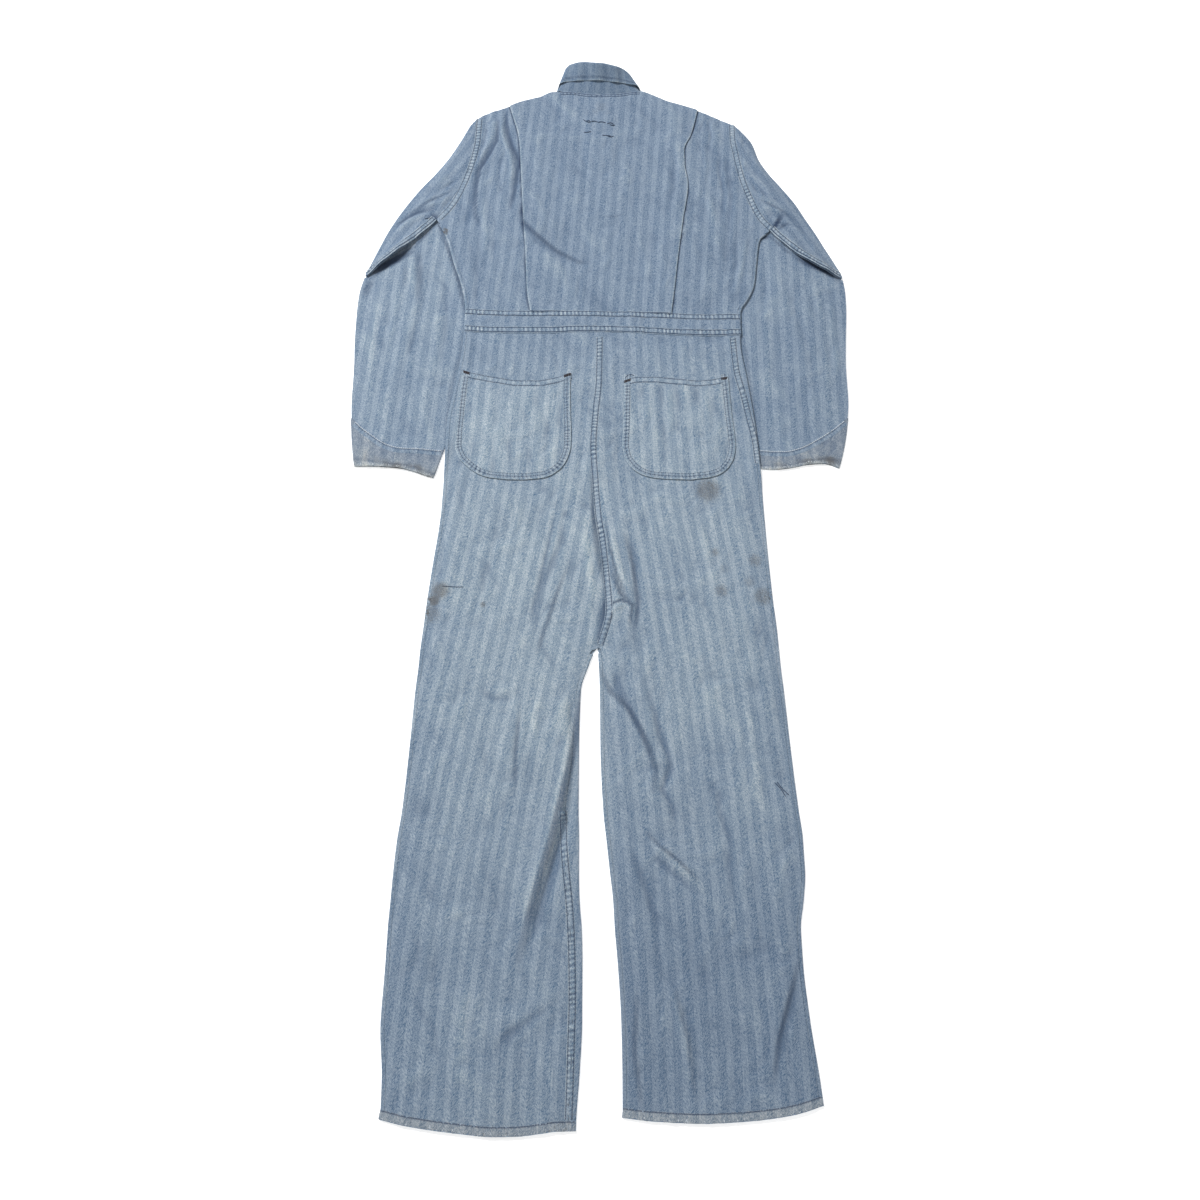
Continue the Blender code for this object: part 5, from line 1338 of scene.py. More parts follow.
for sign, side in SIDE_NAME.items():
    outer = column(SLEEVES[sign], 1)
    inner = column(SLEEVES[sign], 2, sign * UNDER_TURN)
    top = constant(SLEEVE_TOP_Y[sign])
    below, above = FOREARM_ROWS, UPPER_ROWS
    rows = np.arange(below + above + 1)
    start = smooth(CUFF_SEAMS[sign], 1, outer(CUFF_SIDE_Y))
    share = (ELBOW_Y[sign] - start) / (SLEEVE_TOP_Y[sign] - start)
    folded = rows >= below
    inset = np.where(folded, TURN_INSET + LAYER, 0.0)[:, None]
    levels = lambda at: rows_through(below, above, lambda here: share + 0 * here, at)
    edge = lambda at: outer(at) - sign * inset
    seam = column(CUFF_SEAMS[sign], 1, GAP)
    x, y = fill((edge, inner), (14,), seam, top, levels)
    bottom = stack(x, y, FLOOR)
    x, y = fill((edge, inner), (44,), seam, top, levels)
    second_relief = forearm_relief(sign, x, y)
    second = stack(x, y, FLOOR + LAYER + sleeve_rise(sign, x, y) + second_relief)
    hole = column(BODICE_SIDES, SIDE_COLUMN[sign], sign * GAP / 2)
    climb = np.clip((rows[:, None] - below) / above, 0, 1)
    hole_y = ARMPIT_Y[sign] + (SHOULDER_TIP_Y[sign] - ARMPIT_Y[sign]) * climb
    hole_x = hole(hole_y)
    beside_seam = ease(1 - np.clip(rows[:, None] - below, 0, None) / FLAP_ROWS)
    arms = []
    for cells in (14, 40):
        shares = np.linspace(0, 1, cells + 1)[None, :]
        sag = SEAM_SAG[sign] * (1 - climb) ** 2 * 4 * shares * (1 - shares)
        arm_x = hole_x + (x[:, :1] - hole_x) * shares
        arm_y = hole_y + (y[:, :1] - hole_y) * shares - sag
        height = FLOOR + 2 * LAYER + sleeve_rise(sign, arm_x, arm_y) + flap_rise(beside_seam, shares)
        arms.append((arm_x, arm_y, height, shares))
    arm_x, arm_y, height, shares = arms[0]
    third = stack(arm_x, arm_y, height + 0.4 * ease(4 * shares) * ease(4 - 4 * shares))
    arm_x, arm_y, height, shares = arms[1]
    crown = ease(5 * shares) * ease(5 - 5 * shares)
    upper_relief = crown * (fold_height(arm_x, arm_y, UPPER_CREASES) + washed(arm_x * 1.2, arm_y * 1.2))
    fourth = stack(arm_x, arm_y, height + TURN + 1.3 * crown + upper_relief)
    arm_edges[sign] = fourth[below, ::3, :2]
    along_edge = unit(np.gradient(np.stack([x[:, 0], y[:, 0]], axis=-1), axis=0))
    outward = stack(sign * np.abs(along_edge[:, 1]), np.abs(along_edge[:, 0]), 0)
    outer_turn = turn(fourth[:, -1], bottom[:, 0], outward)
    hidden_turn = turn(bottom[:, -1], second[:, -1], np.array([-sign, 0, 0]))
    inner_turn = turn(second[:, 0], third[:, -1], outward)
    parts = [fourth, outer_turn, bottom, hidden_turn, second[:, ::-1], inner_turn, third[:, ::-1]]
    grid = np.concatenate(parts, axis=1)
    present = np.ones(grid.shape[:2], bool)
    present[~folded, : fourth.shape[1] + outer_turn.shape[1]] = False
    present[~folded, -(inner_turn.shape[1] + third.shape[1]):] = False
    upper_arm = slice(0, fourth.shape[1])
    start = sum(part.shape[1] for part in parts[:4])
    forearm = slice(start, start + second.shape[1])
    relief = 0 * grid[..., 0]
    relief[:, upper_arm] = upper_relief
    relief[:, forearm] = second_relief[:, ::-1]
    grain = grain_of(grid, lambda y: FOREARM_LEAN[sign] * y)
    cosine, sine = STRIPE_TURN
    grain[:, upper_arm] = np.stack(
        [arm_x * cosine + sign * arm_y * sine, -sign * arm_x * sine + arm_y * cosine], axis=-1,
    )
    marks = 0 * grid
    marks[..., 0] = FOREARM_FADE[sign] + 0.05 * rumple(grid[..., 0], grid[..., 1], 90, 61)
    marks[:, upper_arm, 0] = 0.0
    # painted shade on the forearm and the upper arm, from their tables of shades
    marks[:, forearm, 2] = near_routes(x, y, FOREARM_SHADES[sign])[:, ::-1]
    marks[:, upper_arm, 2] = UPPER_DARK + near_routes(arm_x, arm_y, UPPER_ARM_SHADES)
    piece = cloth(
        "sleeve_" + side + "_cloth", grid, TWILL, grain, relief=relief, marks=marks, present=present,
    )
    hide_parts("sleeve_" + side)

# ----------------------------------------
# Cuffs. Short tubes of twill with a curved top edge, greyer than the sleeves, with worn and
# frayed ends.
# ----------------------------------------

CUFF_ENDS = {
    -1: (
        (-352, -243), (-330, -243), (-308, -244), (-287, -246), (-265, -252), (-243, -260),
        (-233, -262),
    ),
    1: ((216, -246), (251, -248), (272, -246), (301, -240), (323, -239), (345, -247)),
}
CUFF_ROWS = 21
CUFF_AIR = 0.3  # how far the upper layer stands off the lower one
CUFF_TWILL = cloth_material("worn cuff twill", (0.285, 0.325, 0.378), (0.062, 0.102, 0.162), 0.14, 1.3)

for sign, side in SIDE_NAME.items():
    outer = column(SLEEVES[sign], 1)
    inner = column(SLEEVES[sign], 2, sign * UNDER_TURN)
    ends = column(CUFF_ENDS[sign], 1), column(CUFF_SEAMS[sign], 1), even_levels(CUFF_ROWS)
    x, y = fill((outer, inner), (12,), *ends)
    lower = stack(x, y, FLOOR)
    x, y = fill((outer, inner), (60,), *ends)
    free = ease(sign * (outer(y) - x) / 10) * ease((-edge_distance(x, y) - 4) / 12)
    crinkle = free * (0.3 * puckers(x + 5 * rumple(x, y, 24, 6), 11, 17) + 0.7 * washed(x, y) + CUFF_AIR)
    upper = stack(x, y, FLOOR + LAYER + sleeve_rise(sign, x, y) + crinkle)
    hidden = turn(lower[:, -1], upper[:, -1], np.array([-sign, 0, 0]))
    outside = turn(upper[:, 0], lower[:, 0], np.array([sign, 0, 0]))
    grid = np.concatenate([lower, hidden, upper[:, ::-1], outside], axis=1)
    relief = 0 * grid[..., 0]
    start = lower.shape[1] + hidden.shape[1]
    relief[:, start : start + upper.shape[1]] = 2 * (crinkle - CUFF_AIR * free)[:, ::-1]
    marks = 0 * grid
    down = np.arange(CUFF_ROWS)[:, None]
    marks[..., 0] = 0.05 + 0.55 * np.clip(1 - down / 2.2, 0, 1) + 0.12 * ease(1.2 - down / 12)
    marks[..., 1] = 0.42 * ease(1.3 - down / 10) * (1 + 0.6 * rumple(grid[..., 0], grid[..., 1], 22, 63))
    marks[..., 2] = 0.35 * ease(1 - np.abs(down - 3.4) / 1.2)
    piece = cloth(
        "cuff_" + side + "_cloth", grid, CUFF_TWILL, grain_of(grid, constant(0)),
        relief=relief, marks=marks, ring=True,
    )
    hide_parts("cuff_" + side)

# ----------------------------------------
# Collar. A stand sewn to the neckline, and a fall that rolls over its top edge. Behind the neck
# it stands up. At the front its leaves lie folded under the garment.
# ----------------------------------------

# station, seam x, y, z, stand dx, dy, dz, width of its turn, fall dx, dy, dz
COLLAR = (
    (0, -34.5, 375.5, 2.1, 6, 19, 0, 1.5, -14, -38, 0),
    (1, -48, 385.2, 2.1, 8, 18, 0, 1.5, -26, -34, 0),
    (2, -62, 399.6, 2.1, 10, 16, 0, 1.5, -32, -24, 0),
    (3, -71.2, 419.4, 2.1, 10, 16, 0.1, 1.6, -28, -14, 0),
    (4, -74.3, 443, 2.4, 12.4, 15, 0.1, 2, -12, -13, 0),
    (5, -67, 446.4, 4.9, 11.2, 31, 9.2, 3, -8, -21, -6),
    (6, -60, 446, 5.3, 13.2, 37.7, 13.3, 4.2, -5.6, -23.5, -10.3),
    (7, -37, 445.2, 5.3, 8.4, 37.8, 18.5, 4.6, -1.5, -22.4, -13),
    (8, -10, 441.4, 5.3, 6.5, 37.8, 20.5, 4.6, 0.4, -19.5, -14),
    (9, 22, 442, 5.3, -1.8, 35, 17.6, 4.6, 1.7, -19, -12.6),
    (10, 50, 445.8, 5.3, -12.1, 29.1, 11.2, 4.2, 3.5, -18.5, -9),
    (11, 60, 446, 4.9, -10.3, 21.6, 6.1, 3, 9, -15, -3.4),
    (12, 71, 442.5, 2.4, -14, 13, 0.1, 2, 14, -12, 0),
    (13, 71.2, 419.2, 2.1, -10, 16, 0.1, 1.6, 27, -14, 0),
    (14, 62, 400.8, 2.1, -10, 16, 0, 1.5, 32, -24, 0),
    (15, 48, 385, 2.1, -8, 18, 0, 1.5, 26, -34, 0),
    (16, 34.5, 375, 2.1, -6, 19, 0, 1.5, 14, -38, 0),
)
NECK_TUCK = 1.3  # the stand's lower edge goes in under the neck edge of the back
FALL_SWAY = 0.6  # the fall's edge waves by this much
FALL_FADE = 0.04
FALL_EDGE_WORN = 0.75
FALL_ROW = 5.2  # its row of stitches lies this far from its edge
FALL_ROW_DARK = 0.75
COLLAR_TWILL = cloth_material("collar twill", (0.225, 0.283, 0.355), (0.045, 0.092, 0.168), 0.15, 1.0)

at = np.linspace(0, 16, 161)
read = [smooth(COLLAR, index, at) for index in range(1, 11)]
rise = np.stack(read[3:6], axis=-1)
half = read[6][:, None] / 2
fall = np.stack(read[7:10], axis=-1)
standing = ease((at - 4.5) / 1.5) * ease((11.5 - at) / 1.5)
sewn_in = (GAP - NECK_TUCK * standing)[:, None]
seam = np.stack(read[0:3], axis=-1) + sewn_in * unit(rise)
stand_grid = np.stack([seam + rise * share for share in np.linspace(0, 1, 13)], axis=1)
fold_line = np.gradient(stand_grid[:, -1], axis=0)
out = unit(np.cross(fold_line, rise))
up = unit(np.cross(out, fold_line))
start = stand_grid[:, -1] + up * (GAP + CLOTH / 2)
turns = np.linspace(0, np.pi, 9)
roll = [start + out * half * (1 - np.cos(angle)) + up * half * np.sin(angle) for angle in turns]
flap = [roll[-1] + fall * share for share in np.linspace(0, 1, 17)[1:]]
fall_grid = np.stack(roll + flap, axis=1)
arc = distances(seam)
down_share = np.linspace(0, 1, fall_grid.shape[1])[None, :]
sway = standing[:, None] * (FALL_SWAY * puckers(arc, 26, 21)[:, None] * down_share)
fall_grid = fall_grid + sway[..., None] * out[:, None, :]
down = distances(fall_grid[len(at) // 2])
grain = np.stack(np.meshgrid(arc, down, indexing="ij"), axis=-1)
to_edge = down[-1] - grain[..., 1]
row = np.exp(-(((to_edge - FALL_ROW) / 1.0) ** 2))
marks = 0 * fall_grid
marks[..., 0] = FALL_FADE + FALL_EDGE_WORN * ease(1.4 - to_edge / 1.2)
marks[..., 2] = FALL_ROW_DARK * row * (0.8 + 0.3 * puckers(arc, 4, 22))[:, None]
collar_fall = cloth("collar_fall_cloth", fall_grid, COLLAR_TWILL, grain, relief=sway, marks=marks)
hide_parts("collar_fall")
grain = np.stack(np.meshgrid(arc, np.linspace(0, 30, 13), indexing="ij"), axis=-1)
collar_stand = cloth("collar_stand_cloth", stand_grid, COLLAR_TWILL, grain)
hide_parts("collar_stand")

# ----------------------------------------
# Placket, fly and buttons. Strips over the centre front that carry plain grey shank-sewn
# buttons. They lie under the garment, the buttons on the surface.
# ----------------------------------------

STRIPS = {"placket": (20, 366), "fly": (-31, -232)}
BUTTON_YS = (330, 262, 194, 126, -88, -136, -186)
BUTTON_RADIUS = 8.0

for name, ends in STRIPS.items():
    x, y = np.meshgrid(np.linspace(-PLACKET_HALF, PLACKET_HALF, 9), np.linspace(min(ends), max(ends), 60))
    grid = stack(x, y, FLOOR + leaf_lift(x, y) + button_room(y, min(abs(end) for end in ends)))
    piece = cloth(name + "_cloth", grid, TWILL, grain_of(grid, constant(0)), marks=body_marks(x, y))
    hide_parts(name)

def add_mesh(name, verts, faces, material):
    """A smooth piece from its corners in millimetres and its faces."""
    mesh = bpy.data.meshes.new(name)
    mesh.from_pydata((verts * MM).tolist(), [], faces)
    mesh.shade_smooth()
    return placed(name, mesh, material)


BUTTON, tree, shader = bare_material("grey button", 0.42, 0.5)
place = tree.nodes.new("ShaderNodeTexCoord")
swirl = noise(tree, place.outputs["Object"], 160, 3.0, 0.6)
tree.links.new(mix(tree, swirl, (0.10, 0.105, 0.115, 1), (0.20, 0.21, 0.23, 1)), shader.inputs["Base Color"])
BUTTON_STEPS = 32
BUTTON_DISH = 0.75  # height of its middle
# radius, height round the button: its dish, its rim and its back
BUTTON_PROFILE = (
    (4.6, 0.75), (5.4, 0.95), (6.6, 1.2), (7.6, 1.05), (BUTTON_RADIUS, 0.6), (7.6, 0.15), (6.6, 0.0),
)
angles = np.linspace(0, 2 * np.pi, BUTTON_STEPS, endpoint=False)
afters = [(step, (step + 1) % BUTTON_STEPS) for step in range(BUTTON_STEPS)]
last = (len(BUTTON_PROFILE) - 1) * BUTTON_STEPS
for number, button_y in enumerate(BUTTON_YS, 1):
    base = float(leaf_lift(np.array(0.0), np.array(button_y + BUTTON_RADIUS)))
    rings = [
        stack(radius * np.cos(angles), button_y + radius * np.sin(angles), base + height)
        for radius, height in BUTTON_PROFILE
    ]
    verts = np.concatenate([*rings, [[0, button_y, base + BUTTON_DISH], [0, button_y, base]]])
    faces = []
    for first in range(0, last, BUTTON_STEPS):
        second = first + BUTTON_STEPS
        faces += [(first + step, second + step, second + after, first + after) for step, after in afters]
    for step, after in afters:
        faces.append((step, after, len(verts) - 2))
        faces.append((last + after, last + step, len(verts) - 1))
    piece = add_mesh("button_" + str(number) + "_disc", verts, faces, BUTTON)
    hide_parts("button_" + str(number))

# ----------------------------------------
# Felled seams. Where two panels meet, their edges are folded into each other and sewn down with
# two rows of navy thread. Washing has drawn the bands into small puckers with worn, pale tops,
# and painted shade darkens the troughs between them.
# ----------------------------------------

SEAM_HALF = 5.2  # half a band's width
ROW_HALF = 3.7  # how far its rows of stitches lie from its middle
SEAM_CROWN = 0.5
UNDERARM_INSET = 5.4  # from the lower edge of an upper arm to the middle of its band
BAND_CLOTH = 0.7
STITCH_PITCH = 3.3
STITCH_LENGTH = 2.5
STITCH_SINK = 0.2  # a stitch's ends go into the cloth by this much
THREAD = 0.8
# x, y down each armhole, from the shoulder to the armpit
ARMHOLES = {
    -1: ((-198, 386), (-199, 345), (-203, 312), (-211, 276), (-222, 240), (-237, 208), (-253, 186)),
    1: ((216, 373), (216, 345), (219, 318), (226, 272), (238, 226), (252, 188), (268, 166)),
}
LEFT_INSEAM = (
    (-47, -726), (-45, -770), (-42, -800), (-37, -846), (-34, -897), (-33, -947), (-34, -995), (-35, -1041),
    (-36, -1072),
)
RIGHT_SIDE_SEAM = ((199, -32), (202, -85), (211, -132), (217, -168), (224, -211), (226, -240))
HEM_DEPTH = 10.5

faces_of = []
verts_of = []
count = 0
for piece in [one for one in bpy.data.objects if one.name.endswith("_cloth")]:
    mesh = piece.data
    places = np.empty(len(mesh.vertices) * 3)
    mesh.vertices.foreach_get("co", places)
    corners = np.empty(len(mesh.loops), int)
    mesh.loops.foreach_get("vertex_index", corners)
    verts_of.append(places.reshape(-1, 3))
    faces_of.append(corners.reshape(-1, 4) + count)
    count += len(mesh.vertices)
CLOTHS = BVHTree.FromPolygons(np.concatenate(verts_of).tolist(), np.concatenate(faces_of).tolist())
SKY = 0.1
DOWN = Vector((0, 0, -1))


def top_of(x, y):
    """Height of the uppermost cloth at each place, or zero beside it."""
    starts = [Vector((at_x * MM, at_y * MM, SKY)) for at_x, at_y in zip(x.ravel(), y.ravel())]
    places = [CLOTHS.ray_cast(start, DOWN)[0] for start in starts]
    return np.array([place.z / MM if place else 0.0 for place in places]).reshape(x.shape)


def along(route, step):
    """Distances along a smooth curve through a route's points, its places, and the way it runs there."""
    points = np.array(route, float)
    run = distances(points)
    at = np.linspace(0, run[-1], max(2, round(run[-1] / step)) + 1)
    x, y = (smooth(np.column_stack([run, points[:, index]]), 1, at) for index in (0, 1))
    return at, x, y, unit(np.gradient(np.column_stack([x, y]), axis=0))


def leftward(points):
    """Directions to the left of a line, seen from above, at each of its points."""
    way = unit(np.gradient(points, axis=0))
    return np.column_stack([-way[:, 1], way[:, 0]])


def settled(heights, reach):
    """Heights along a seam, smoothed along it, and never below the cloth there."""
    window = np.hanning(2 * reach + 3)[1:-1]
    padded = np.pad(heights, ((reach, reach), (0, 0)), mode="edge")
    mean = np.stack([np.convolve(line, window / window.sum(), mode="valid") for line in padded.T], axis=1)
    return np.maximum(mean, heights)


def felled_seam(name, route, half=SEAM_HALF, rows=(-ROW_HALF, ROW_HALF), crown=SEAM_CROWN, pitch=6.2,
                fade=0.22, worn=0.34, dark=0.70, turned=0.45, slant=0.15, pucker_shade=0.45,
                reach=3, material=TWILL, lean=constant(0), on=()):
    """A puckered band along a route. Gives the lines of its rows of stitches."""
    at, x, y, way = along(route, 1.2)
    across = np.linspace(-1, 1, 13)
    off = half * across
    px = x[:, None] - way[:, 1:] * off
    py = y[:, None] + way[:, :1] * off
    seed = len(name)
    drift = at[:, None] + slant * off + 2.2 * rumple(at, 0 * at, 46, seed)[:, None]
    swell = 0.75 + 0.45 * rumple(at, 0 * at, 33, seed + 1)[:, None]
    pucker = swell * np.sin(2 * np.pi * drift / pitch)
    inner = max(rows) if len(rows) > 1 else half
    between = ease((inner - np.abs(off) + 0.6) / 1.4)
    profile = crown * (1 - np.abs(across) ** 3) + 0.24 * pucker * (0.35 + 0.65 * between) * (1 - across**4)
    for row in rows:
        profile = profile - 0.35 * crown * np.exp(-(((off - row) / 0.8) ** 2))
    top = settled(top_of(px, py), reach) + profile + 0.03
    grid = stack(px, py, top - BAND_CLOTH / 2)
    marks = 0 * grid
    edge = ease((np.abs(off) - inner) / 0.8)
    marks[..., 0] = fade + worn * np.maximum(pucker, 0) * between + turned * edge
    # painted shade in the troughs between the puckers
    marks[..., 2] = pucker_shade * np.maximum(-pucker, 0) * between
    for row in rows:
        marks[..., 2] += dark * np.exp(-(((off - row) / 0.9) ** 2))
    marks[..., 1] = body_marks(px, py)[..., 1]
    band = cloth(name, grid, material, grain_of(grid, lean), marks=marks, thickness=BAND_CLOTH)
    list(on)
    lines = []
    for row in rows:
        nearest = int(np.argmin(np.abs(off - row)))
        lines.append(stack(x - way[:, 1] * row, y + way[:, 0] * row, top[:, nearest]))
    return lines


def thread_material(name, dark, light):
    """Twisted cotton thread."""
    material, tree, shader = bare_material(name, 0.85, 0.2)
    place = tree.nodes.new("ShaderNodeTexCoord").outputs["Object"]
    color = mix(tree, noise(tree, place, 900, 2.0, 0.6), (*dark, 1), (*light, 1))
    tree.links.new(color, shader.inputs["Base Color"])
    return material


NAVY_THREAD = thread_material("navy thread", (0.025, 0.040, 0.075), (0.06, 0.085, 0.14))
BROWN_THREAD = thread_material("brown thread", (0.034, 0.032, 0.040), (0.085, 0.068, 0.070))
PALE_THREAD = thread_material("worn pale thread", (0.50, 0.55, 0.60), (0.70, 0.74, 0.78))


def sew(name, lines, material=NAVY_THREAD, pitch=STITCH_PITCH, length=STITCH_LENGTH, wide=THREAD):
    """One mesh of the short stitches along lines of points on the cloth."""
    verts, faces = [], []
    for line in lines:
        run = distances(line)
        for middle in np.arange(pitch / 2, run[-1], pitch):
            low, high = (
                np.array([np.interp(middle + move, run, line[:, axis]) for axis in range(3)])
                for move in (-length / 2, length / 2)
            )
            ahead = unit(high - low)
            side = unit(np.cross(ahead, (0, 0, 1.0)))
            over = np.cross(side, ahead)
            start = len(verts)
            verts.append(low - STITCH_SINK * over)
            for share in (0.28, 0.72):
                ring = low + (high - low) * share
                for off in (side * wide / 2, over * wide * 0.45, -side * wide / 2, -over * wide * 0.45):
                    verts.append(ring + off)
            verts.append(high - STITCH_SINK * over)
            for step in range(4):
                after = (step + 1) % 4
                faces.append((start, start + 1 + after, start + 1 + step))
                faces.append((start + 1 + step, start + 1 + after, start + 5 + after, start + 5 + step))
                faces.append((start + 9, start + 5 + step, start + 5 + after))
    return add_mesh(name, np.array(verts), faces, material)


seam_lines = []
for sign, side in SIDE_NAME.items():
    seam_lines += felled_seam(
        "armhole_seam_" + side, ARMHOLES[sign],
        lean=torso_lean, reach=4, on=("back_bodice", "sleeve_" + side),
    )
    route = arm_edges[sign] + sign * UNDERARM_INSET * leftward(arm_edges[sign])
    seam_lines += felled_seam(
        "underarm_seam_" + side, route, half=5.0, rows=(-2.8, 2.6),
        fade=0.30, worn=0.3, dark=1.0, reach=2, on=("sleeve_" + side,),
    )
    hem = HEMS[sign]
    ends = np.linspace(hem[0][0] + 6, hem[-1][0] - 5, 40)
    route = np.column_stack([ends, smooth(hem, 1, ends) + HEM_DEPTH / 2])
    seam_lines += felled_seam(
        "hem_" + side, route, half=HEM_DEPTH / 2, rows=(HEM_DEPTH / 2 - 1.0,), crown=0.35, pitch=8.0,
        fade=0.34, worn=0.06, dark=0.8, slant=0.1, pucker_shade=0.12,
        material=CUFF_TWILL, lean=column(LEG_LEAN, SIDE_COLUMN[sign]), on=("back_leg_" + side,),
    )
centre_route = [(smooth(CENTRE_SEAM, 1, y) + 0.5, y) for y in np.linspace(-508, -30, 60)]
LEG_SEAMS = (
    ("centre_back_seam", centre_route, ("back_leg_left", "back_leg_right")),
    ("left_inseam", LEFT_INSEAM, ("back_leg_left", "front_leg_left")),
    ("right_side_seam", RIGHT_SIDE_SEAM, ("back_leg_right", "front_leg_right")),
)
for name, route, on in LEG_SEAMS:
    seam_lines += felled_seam(name, route, worn=0.55, dark=0.7, on=on)
# name, column of its edge in the table, how far above that edge it runs, what it joins on
WAIST_SEAMS = (
    ("waist_seam_top", 1, -2.2, "back_bodice"),
    ("waist_seam_low", 2, 6.2, "back_leg_left"),
)
for name, edge, inset, on in WAIST_SEAMS:
    ends = np.linspace(-204, 212, 90)
    route = np.column_stack([ends, smooth(WAISTBAND_EDGES, edge, ends) + inset])
    seam_lines += felled_seam(
        name, route, half=5.4, rows=(-4.0, 3.6), crown=0.3, fade=0.12, worn=0.55, dark=1.0, slant=0.1,
        lean=torso_lean, on=("waistband", on),
    )
for sign, side in SIDE_NAME.items():
    ends = np.sort(sign * np.linspace(229, 357, 24))
    route = np.column_stack([ends, smooth(CUFF_SEAMS[sign], 1, ends) - 3.6])
    lines = felled_seam(
        "cuff_seam_" + side, route, half=5.0, rows=(0.8,), crown=0.35, fade=0.10, worn=0.15,
        dark=0.6, pucker_shade=0.12, on=("cuff_" + side,),
    )
    lines = [line + np.array([0, 1.8, 0.1]) for line in lines]
    sew("cuff_stitches_" + side, lines, PALE_THREAD, pitch=3.0, length=3.2, wide=1.3)
neck = np.linspace(-66, 66, 40)
route = np.column_stack([neck, smooth(BODICE_TOP, 1, neck) - 5.2])
seam_lines += felled_seam(
    "neck_seam", route, half=5.0, rows=(-1.6, 2.4), crown=0.3, fade=0.0, worn=0.15, dark=1.0, turned=0.0,
    lean=torso_lean, on=("back_bodice",),
)
sew("seam_stitches", seam_lines)

# ----------------------------------------
# Pocket edges. Two rows of stitches hold each pocket down beside its folded edge, one row holds
# the hem of its mouth, and a dense bar of thread closes each corner.
# ----------------------------------------

pocket_lines = []
mouth_lines = []
for sign, side in SIDE_NAME.items():
    left, right = POCKET_COLUMNS[sign]
    ups = [row[0] for row in POCKET_SIDES]
    fine = np.linspace(0, 1, 70) ** 1.8 * (ups[-1] - 6 - ups[0]) + ups[0]
    down = [(smooth(POCKET_SIDES, left, y), y) for y in fine[::-1]]
    up = [(smooth(POCKET_SIDES, right, y), y) for y in fine]
    outline = np.array(down + up)
    pocket_lines += felled_seam(
        "pocket_edge_" + side, outline + leftward(outline) * 5.2, half=5.0, rows=(-0.6, 3.8),
        crown=0.35, pitch=5.6, fade=0.34, worn=0.28, dark=0.42, turned=0.6, slant=0.1,
        lean=POCKET_LEANS[sign], on=("back_pocket_" + side,),
    )
    mouth = MOUTHS[sign]
    ends = np.linspace(mouth[0][0] + 2, mouth[-1][0] - 2, 60)
    route = np.column_stack([ends, smooth(mouth, 1, ends) - 5.2])
    pocket_lines += felled_seam(
        "pocket_mouth_" + side, route, half=5.0, rows=(-4.0, 3.9), crown=0.35, pitch=7.0,
        fade=0.34, worn=0.15, dark=0.8, pucker_shade=0.12, on=("back_pocket_" + side,),
    )
    for corner, turn_in in ((mouth[0], 1), (mouth[-1], -1)):
        for step in range(7):
            x = corner[0] + turn_in * np.linspace(1.5, 12.5, 8)
            y = smooth(mouth, 1, x) - 1.0 - 0.62 * step
            mouth_lines.append(np.column_stack([x, y, top_of(x[:, None], y[:, None]) + BAND_CLOTH]))
sew("pocket_stitches", pocket_lines)
sew("pocket_bartacks", mouth_lines, BROWN_THREAD, pitch=2.6, length=2.9, wide=0.7)

# ----------------------------------------
# Loose and broken threads. Short dark ends stay where a label has been taken off under the
# collar, pale ones fray from the cuffs and hems, and a few hang from the pockets.
# ----------------------------------------

FRAY_PITCH = 2.6
# x, y of the ends of threads that are left in the back
LABEL_THREADS = (
    ((-27, 384), (-23, 380), (-17, 380)), ((-14, 379), (-9, 380), (-4, 378)),
    ((-3, 377), (3, 378), (9, 376)), ((12, 374), (17, 376), (22, 374)),
    ((-22, 379), (-19, 377), (-15, 378)), ((16, 372), (20, 371), (24, 372)),
    ((-26, 358), (-21, 357), (-15, 358)), ((4, 351), (10, 350), (17, 349)),
    ((12, 349), (17, 347), (22, 348)),
)
# x, y of threads that hang from a seam
LOOSE_THREADS = (
    ((37, -104), (39, -98), (46, -95), (50, -97)), ((-276, 184), (-268, 186), (-260, 184)),
    ((223, -691), (230, -698), (236, -708)), ((226, -690), (233, -699), (240, -706)),
    ((-215, -426), (-200, -427), (-187, -427)),
)


def cords(name, routes, material, wide):
    """One mesh of thin round threads that lie on the cloth along routes of x and y."""
    verts, faces = [], []
    for route in routes:
        at, x, y, way = along(route, 0.8)
        height = top_of(x[:, None], y[:, None])[:, 0] + wide * 0.4
        first = len(verts)
        for at_x, at_y, at_z, (run_x, run_y) in zip(x, y, height, way):
            for angle in np.linspace(0, 2 * np.pi, 4, endpoint=False):
                aside = wide / 2 * np.cos(angle)
                above = wide / 2 * np.sin(angle)
                verts.append((at_x - run_y * aside, at_y + run_x * aside, at_z + above))
        for ring in range(len(at) - 1):
            for corner in range(4):
                low = first + 4 * ring + corner
                beside = first + 4 * ring + (corner + 1) % 4
                faces.append((low, beside, beside + 4, low + 4))
        last = first + 4 * (len(at) - 1)
        faces += [(first + 3, first + 2, first + 1, first), (last, last + 1, last + 2, last + 3)]
    return add_mesh(name, np.array(verts), faces, material)


cords("label_threads", LABEL_THREADS, NAVY_THREAD, 1.3)
cords("loose_threads", LOOSE_THREADS, NAVY_THREAD, 0.9)
draw = np.random.default_rng(71)
fray = []
# a table of an edge's x and y, and the ends of its frayed part
FRAYED = (
    (CUFF_ENDS[-1], -348, -238), (CUFF_ENDS[1], 222, 342), (HEMS[-1], -252, -34), (HEMS[1], 30, 252),
)
for edge, low, high in FRAYED:
    count = round((high - low) / FRAY_PITCH)
    ranges = (low, high), (0.5, 2.0), (1.0, 3.5), (-2, 2)
    for x, lift, reach, slip in zip(*(draw.uniform(*ends, count) for ends in ranges)):
        y = float(smooth(edge, 1, x))
        fray.append(((x, y + lift + reach), (x + slip / 2, y + lift + reach / 2), (x + slip, y + lift)))
cords("frayed_ends", fray, PALE_THREAD, 0.45)

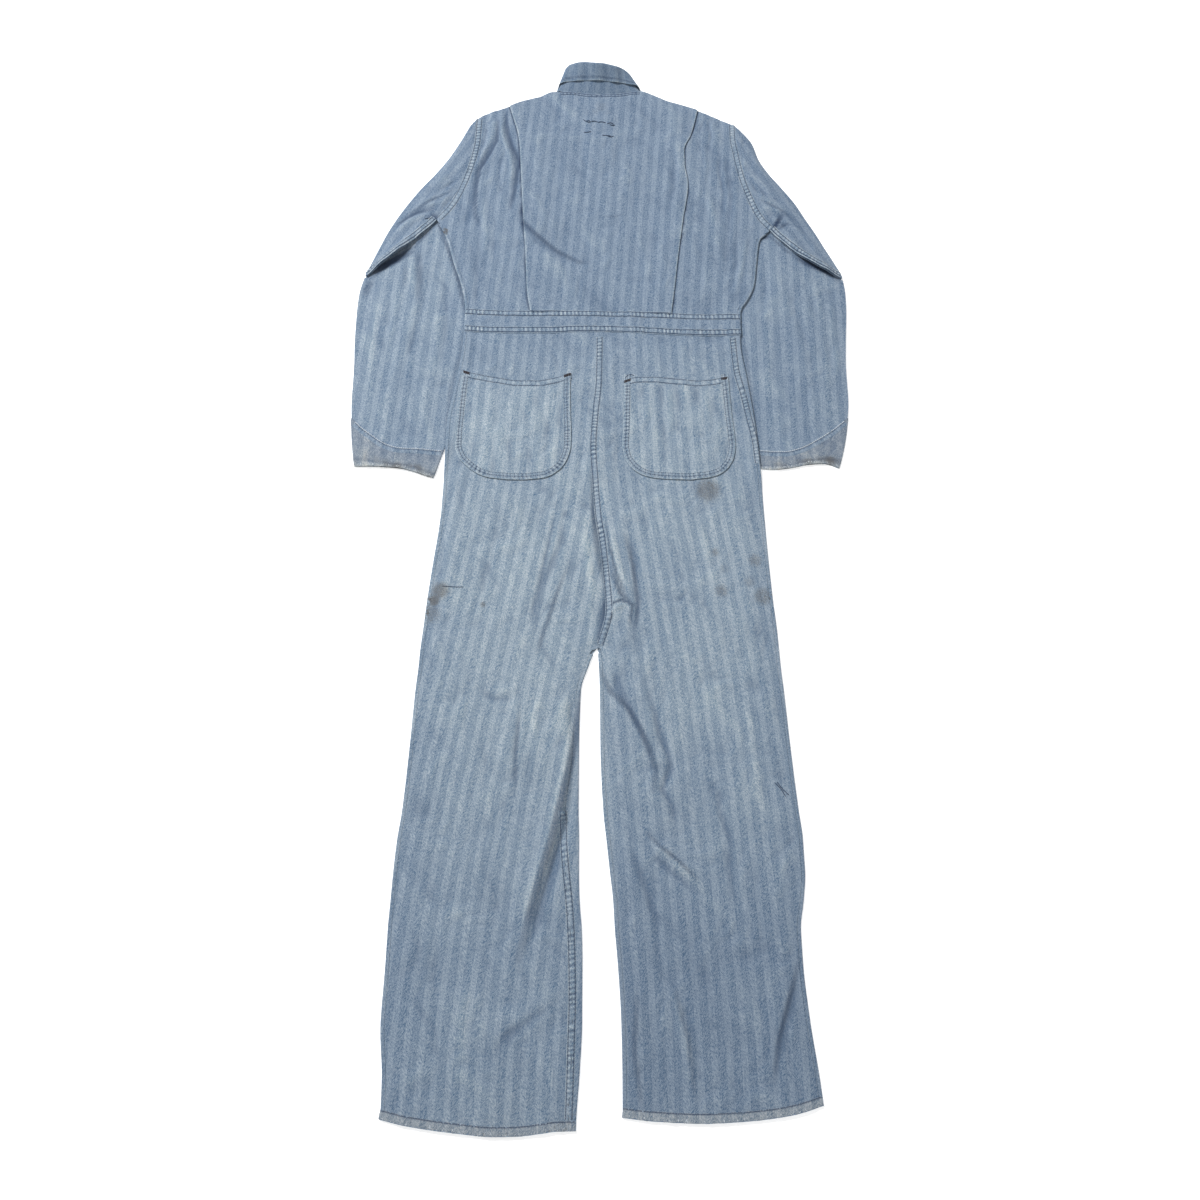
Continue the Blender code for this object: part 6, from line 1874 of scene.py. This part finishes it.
# ----------------------------------------
# The pale floor, the soft light over it, and the camera, which looks down on the garment from
# a little below its hems.
# ----------------------------------------

FLOOR_SIZE = 12.0  # in metres
FLOOR_HEIGHT = -0.0004
corners = [(-1, -1), (1, -1), (1, 1), (-1, 1)]
mesh = bpy.data.meshes.new("floor")
verts = [(x * FLOOR_SIZE / 2, y * FLOOR_SIZE / 2, FLOOR_HEIGHT) for x, y in corners]
mesh.from_pydata(verts, [], [(0, 1, 2, 3)])
floor = bpy.data.objects.new("floor", mesh)
bpy.context.scene.collection.objects.link(floor)
floor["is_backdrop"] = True
pale, tree, shader = bare_material("pale floor", 0.9, 0.0)
shader.inputs["Emission Color"].default_value = (1, 1, 1, 1)
shader.inputs["Emission Strength"].default_value = 0.45
dusty = mix(tree, noise(tree, None, 3.0), (0.90, 0.90, 0.90, 1), (0.93, 0.93, 0.93, 1))
tree.links.new(dusty, shader.inputs["Base Color"])
mesh.materials.append(pale)

world = bpy.data.worlds.new("studio")
world.use_nodes = True
world.node_tree.nodes["Background"].inputs["Color"].default_value = (1.0, 1.0, 1.0, 1)
world.node_tree.nodes["Background"].inputs["Strength"].default_value = 0.29
bpy.context.scene.world = world
bpy.context.scene.view_settings.view_transform = "Standard"
bpy.context.scene.view_settings.look = "None"


def softbox(name, place, size, watts, aim):
    """A square studio light that points at a place."""
    light = bpy.data.lights.new(name, "AREA")
    light.shape = "SQUARE"
    light.size = size
    light.energy = watts
    lamp = bpy.data.objects.new(name, light)
    bpy.context.scene.collection.objects.link(lamp)
    lamp.location = place
    lamp.rotation_mode = "QUATERNION"
    lamp.rotation_quaternion = (Vector(aim) - Vector(place)).to_track_quat("-Z", "Y")


softbox("key light", (-1.8, 1.6, 2.7), 0.7, 163, (0, -0.3, 0))
softbox("fill light", (1.2, -2.2, 2.8), 2.4, 33, (0, -0.5, 0))

CAMERA_DISTANCE = 1.230  # from the place on the floor in the middle of the view
CAMERA_TILT = np.radians(18.0)
VIEW_MIDDLE_Y = -0.444
camera = bpy.data.objects.new("camera", bpy.data.cameras.new("camera"))
bpy.context.scene.collection.objects.link(camera)
camera_y = VIEW_MIDDLE_Y - CAMERA_DISTANCE * np.sin(CAMERA_TILT)
camera.location = (0, camera_y, CAMERA_DISTANCE * np.cos(CAMERA_TILT))
camera.rotation_euler = (CAMERA_TILT, 0, 0)
camera.data.lens = 27.0
camera.data.clip_start = 0.05
bpy.context.scene.camera = camera

low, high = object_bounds()
{"cad": [list(cad_low), list(cad_high)], "visual": [list(low), list(high)]}
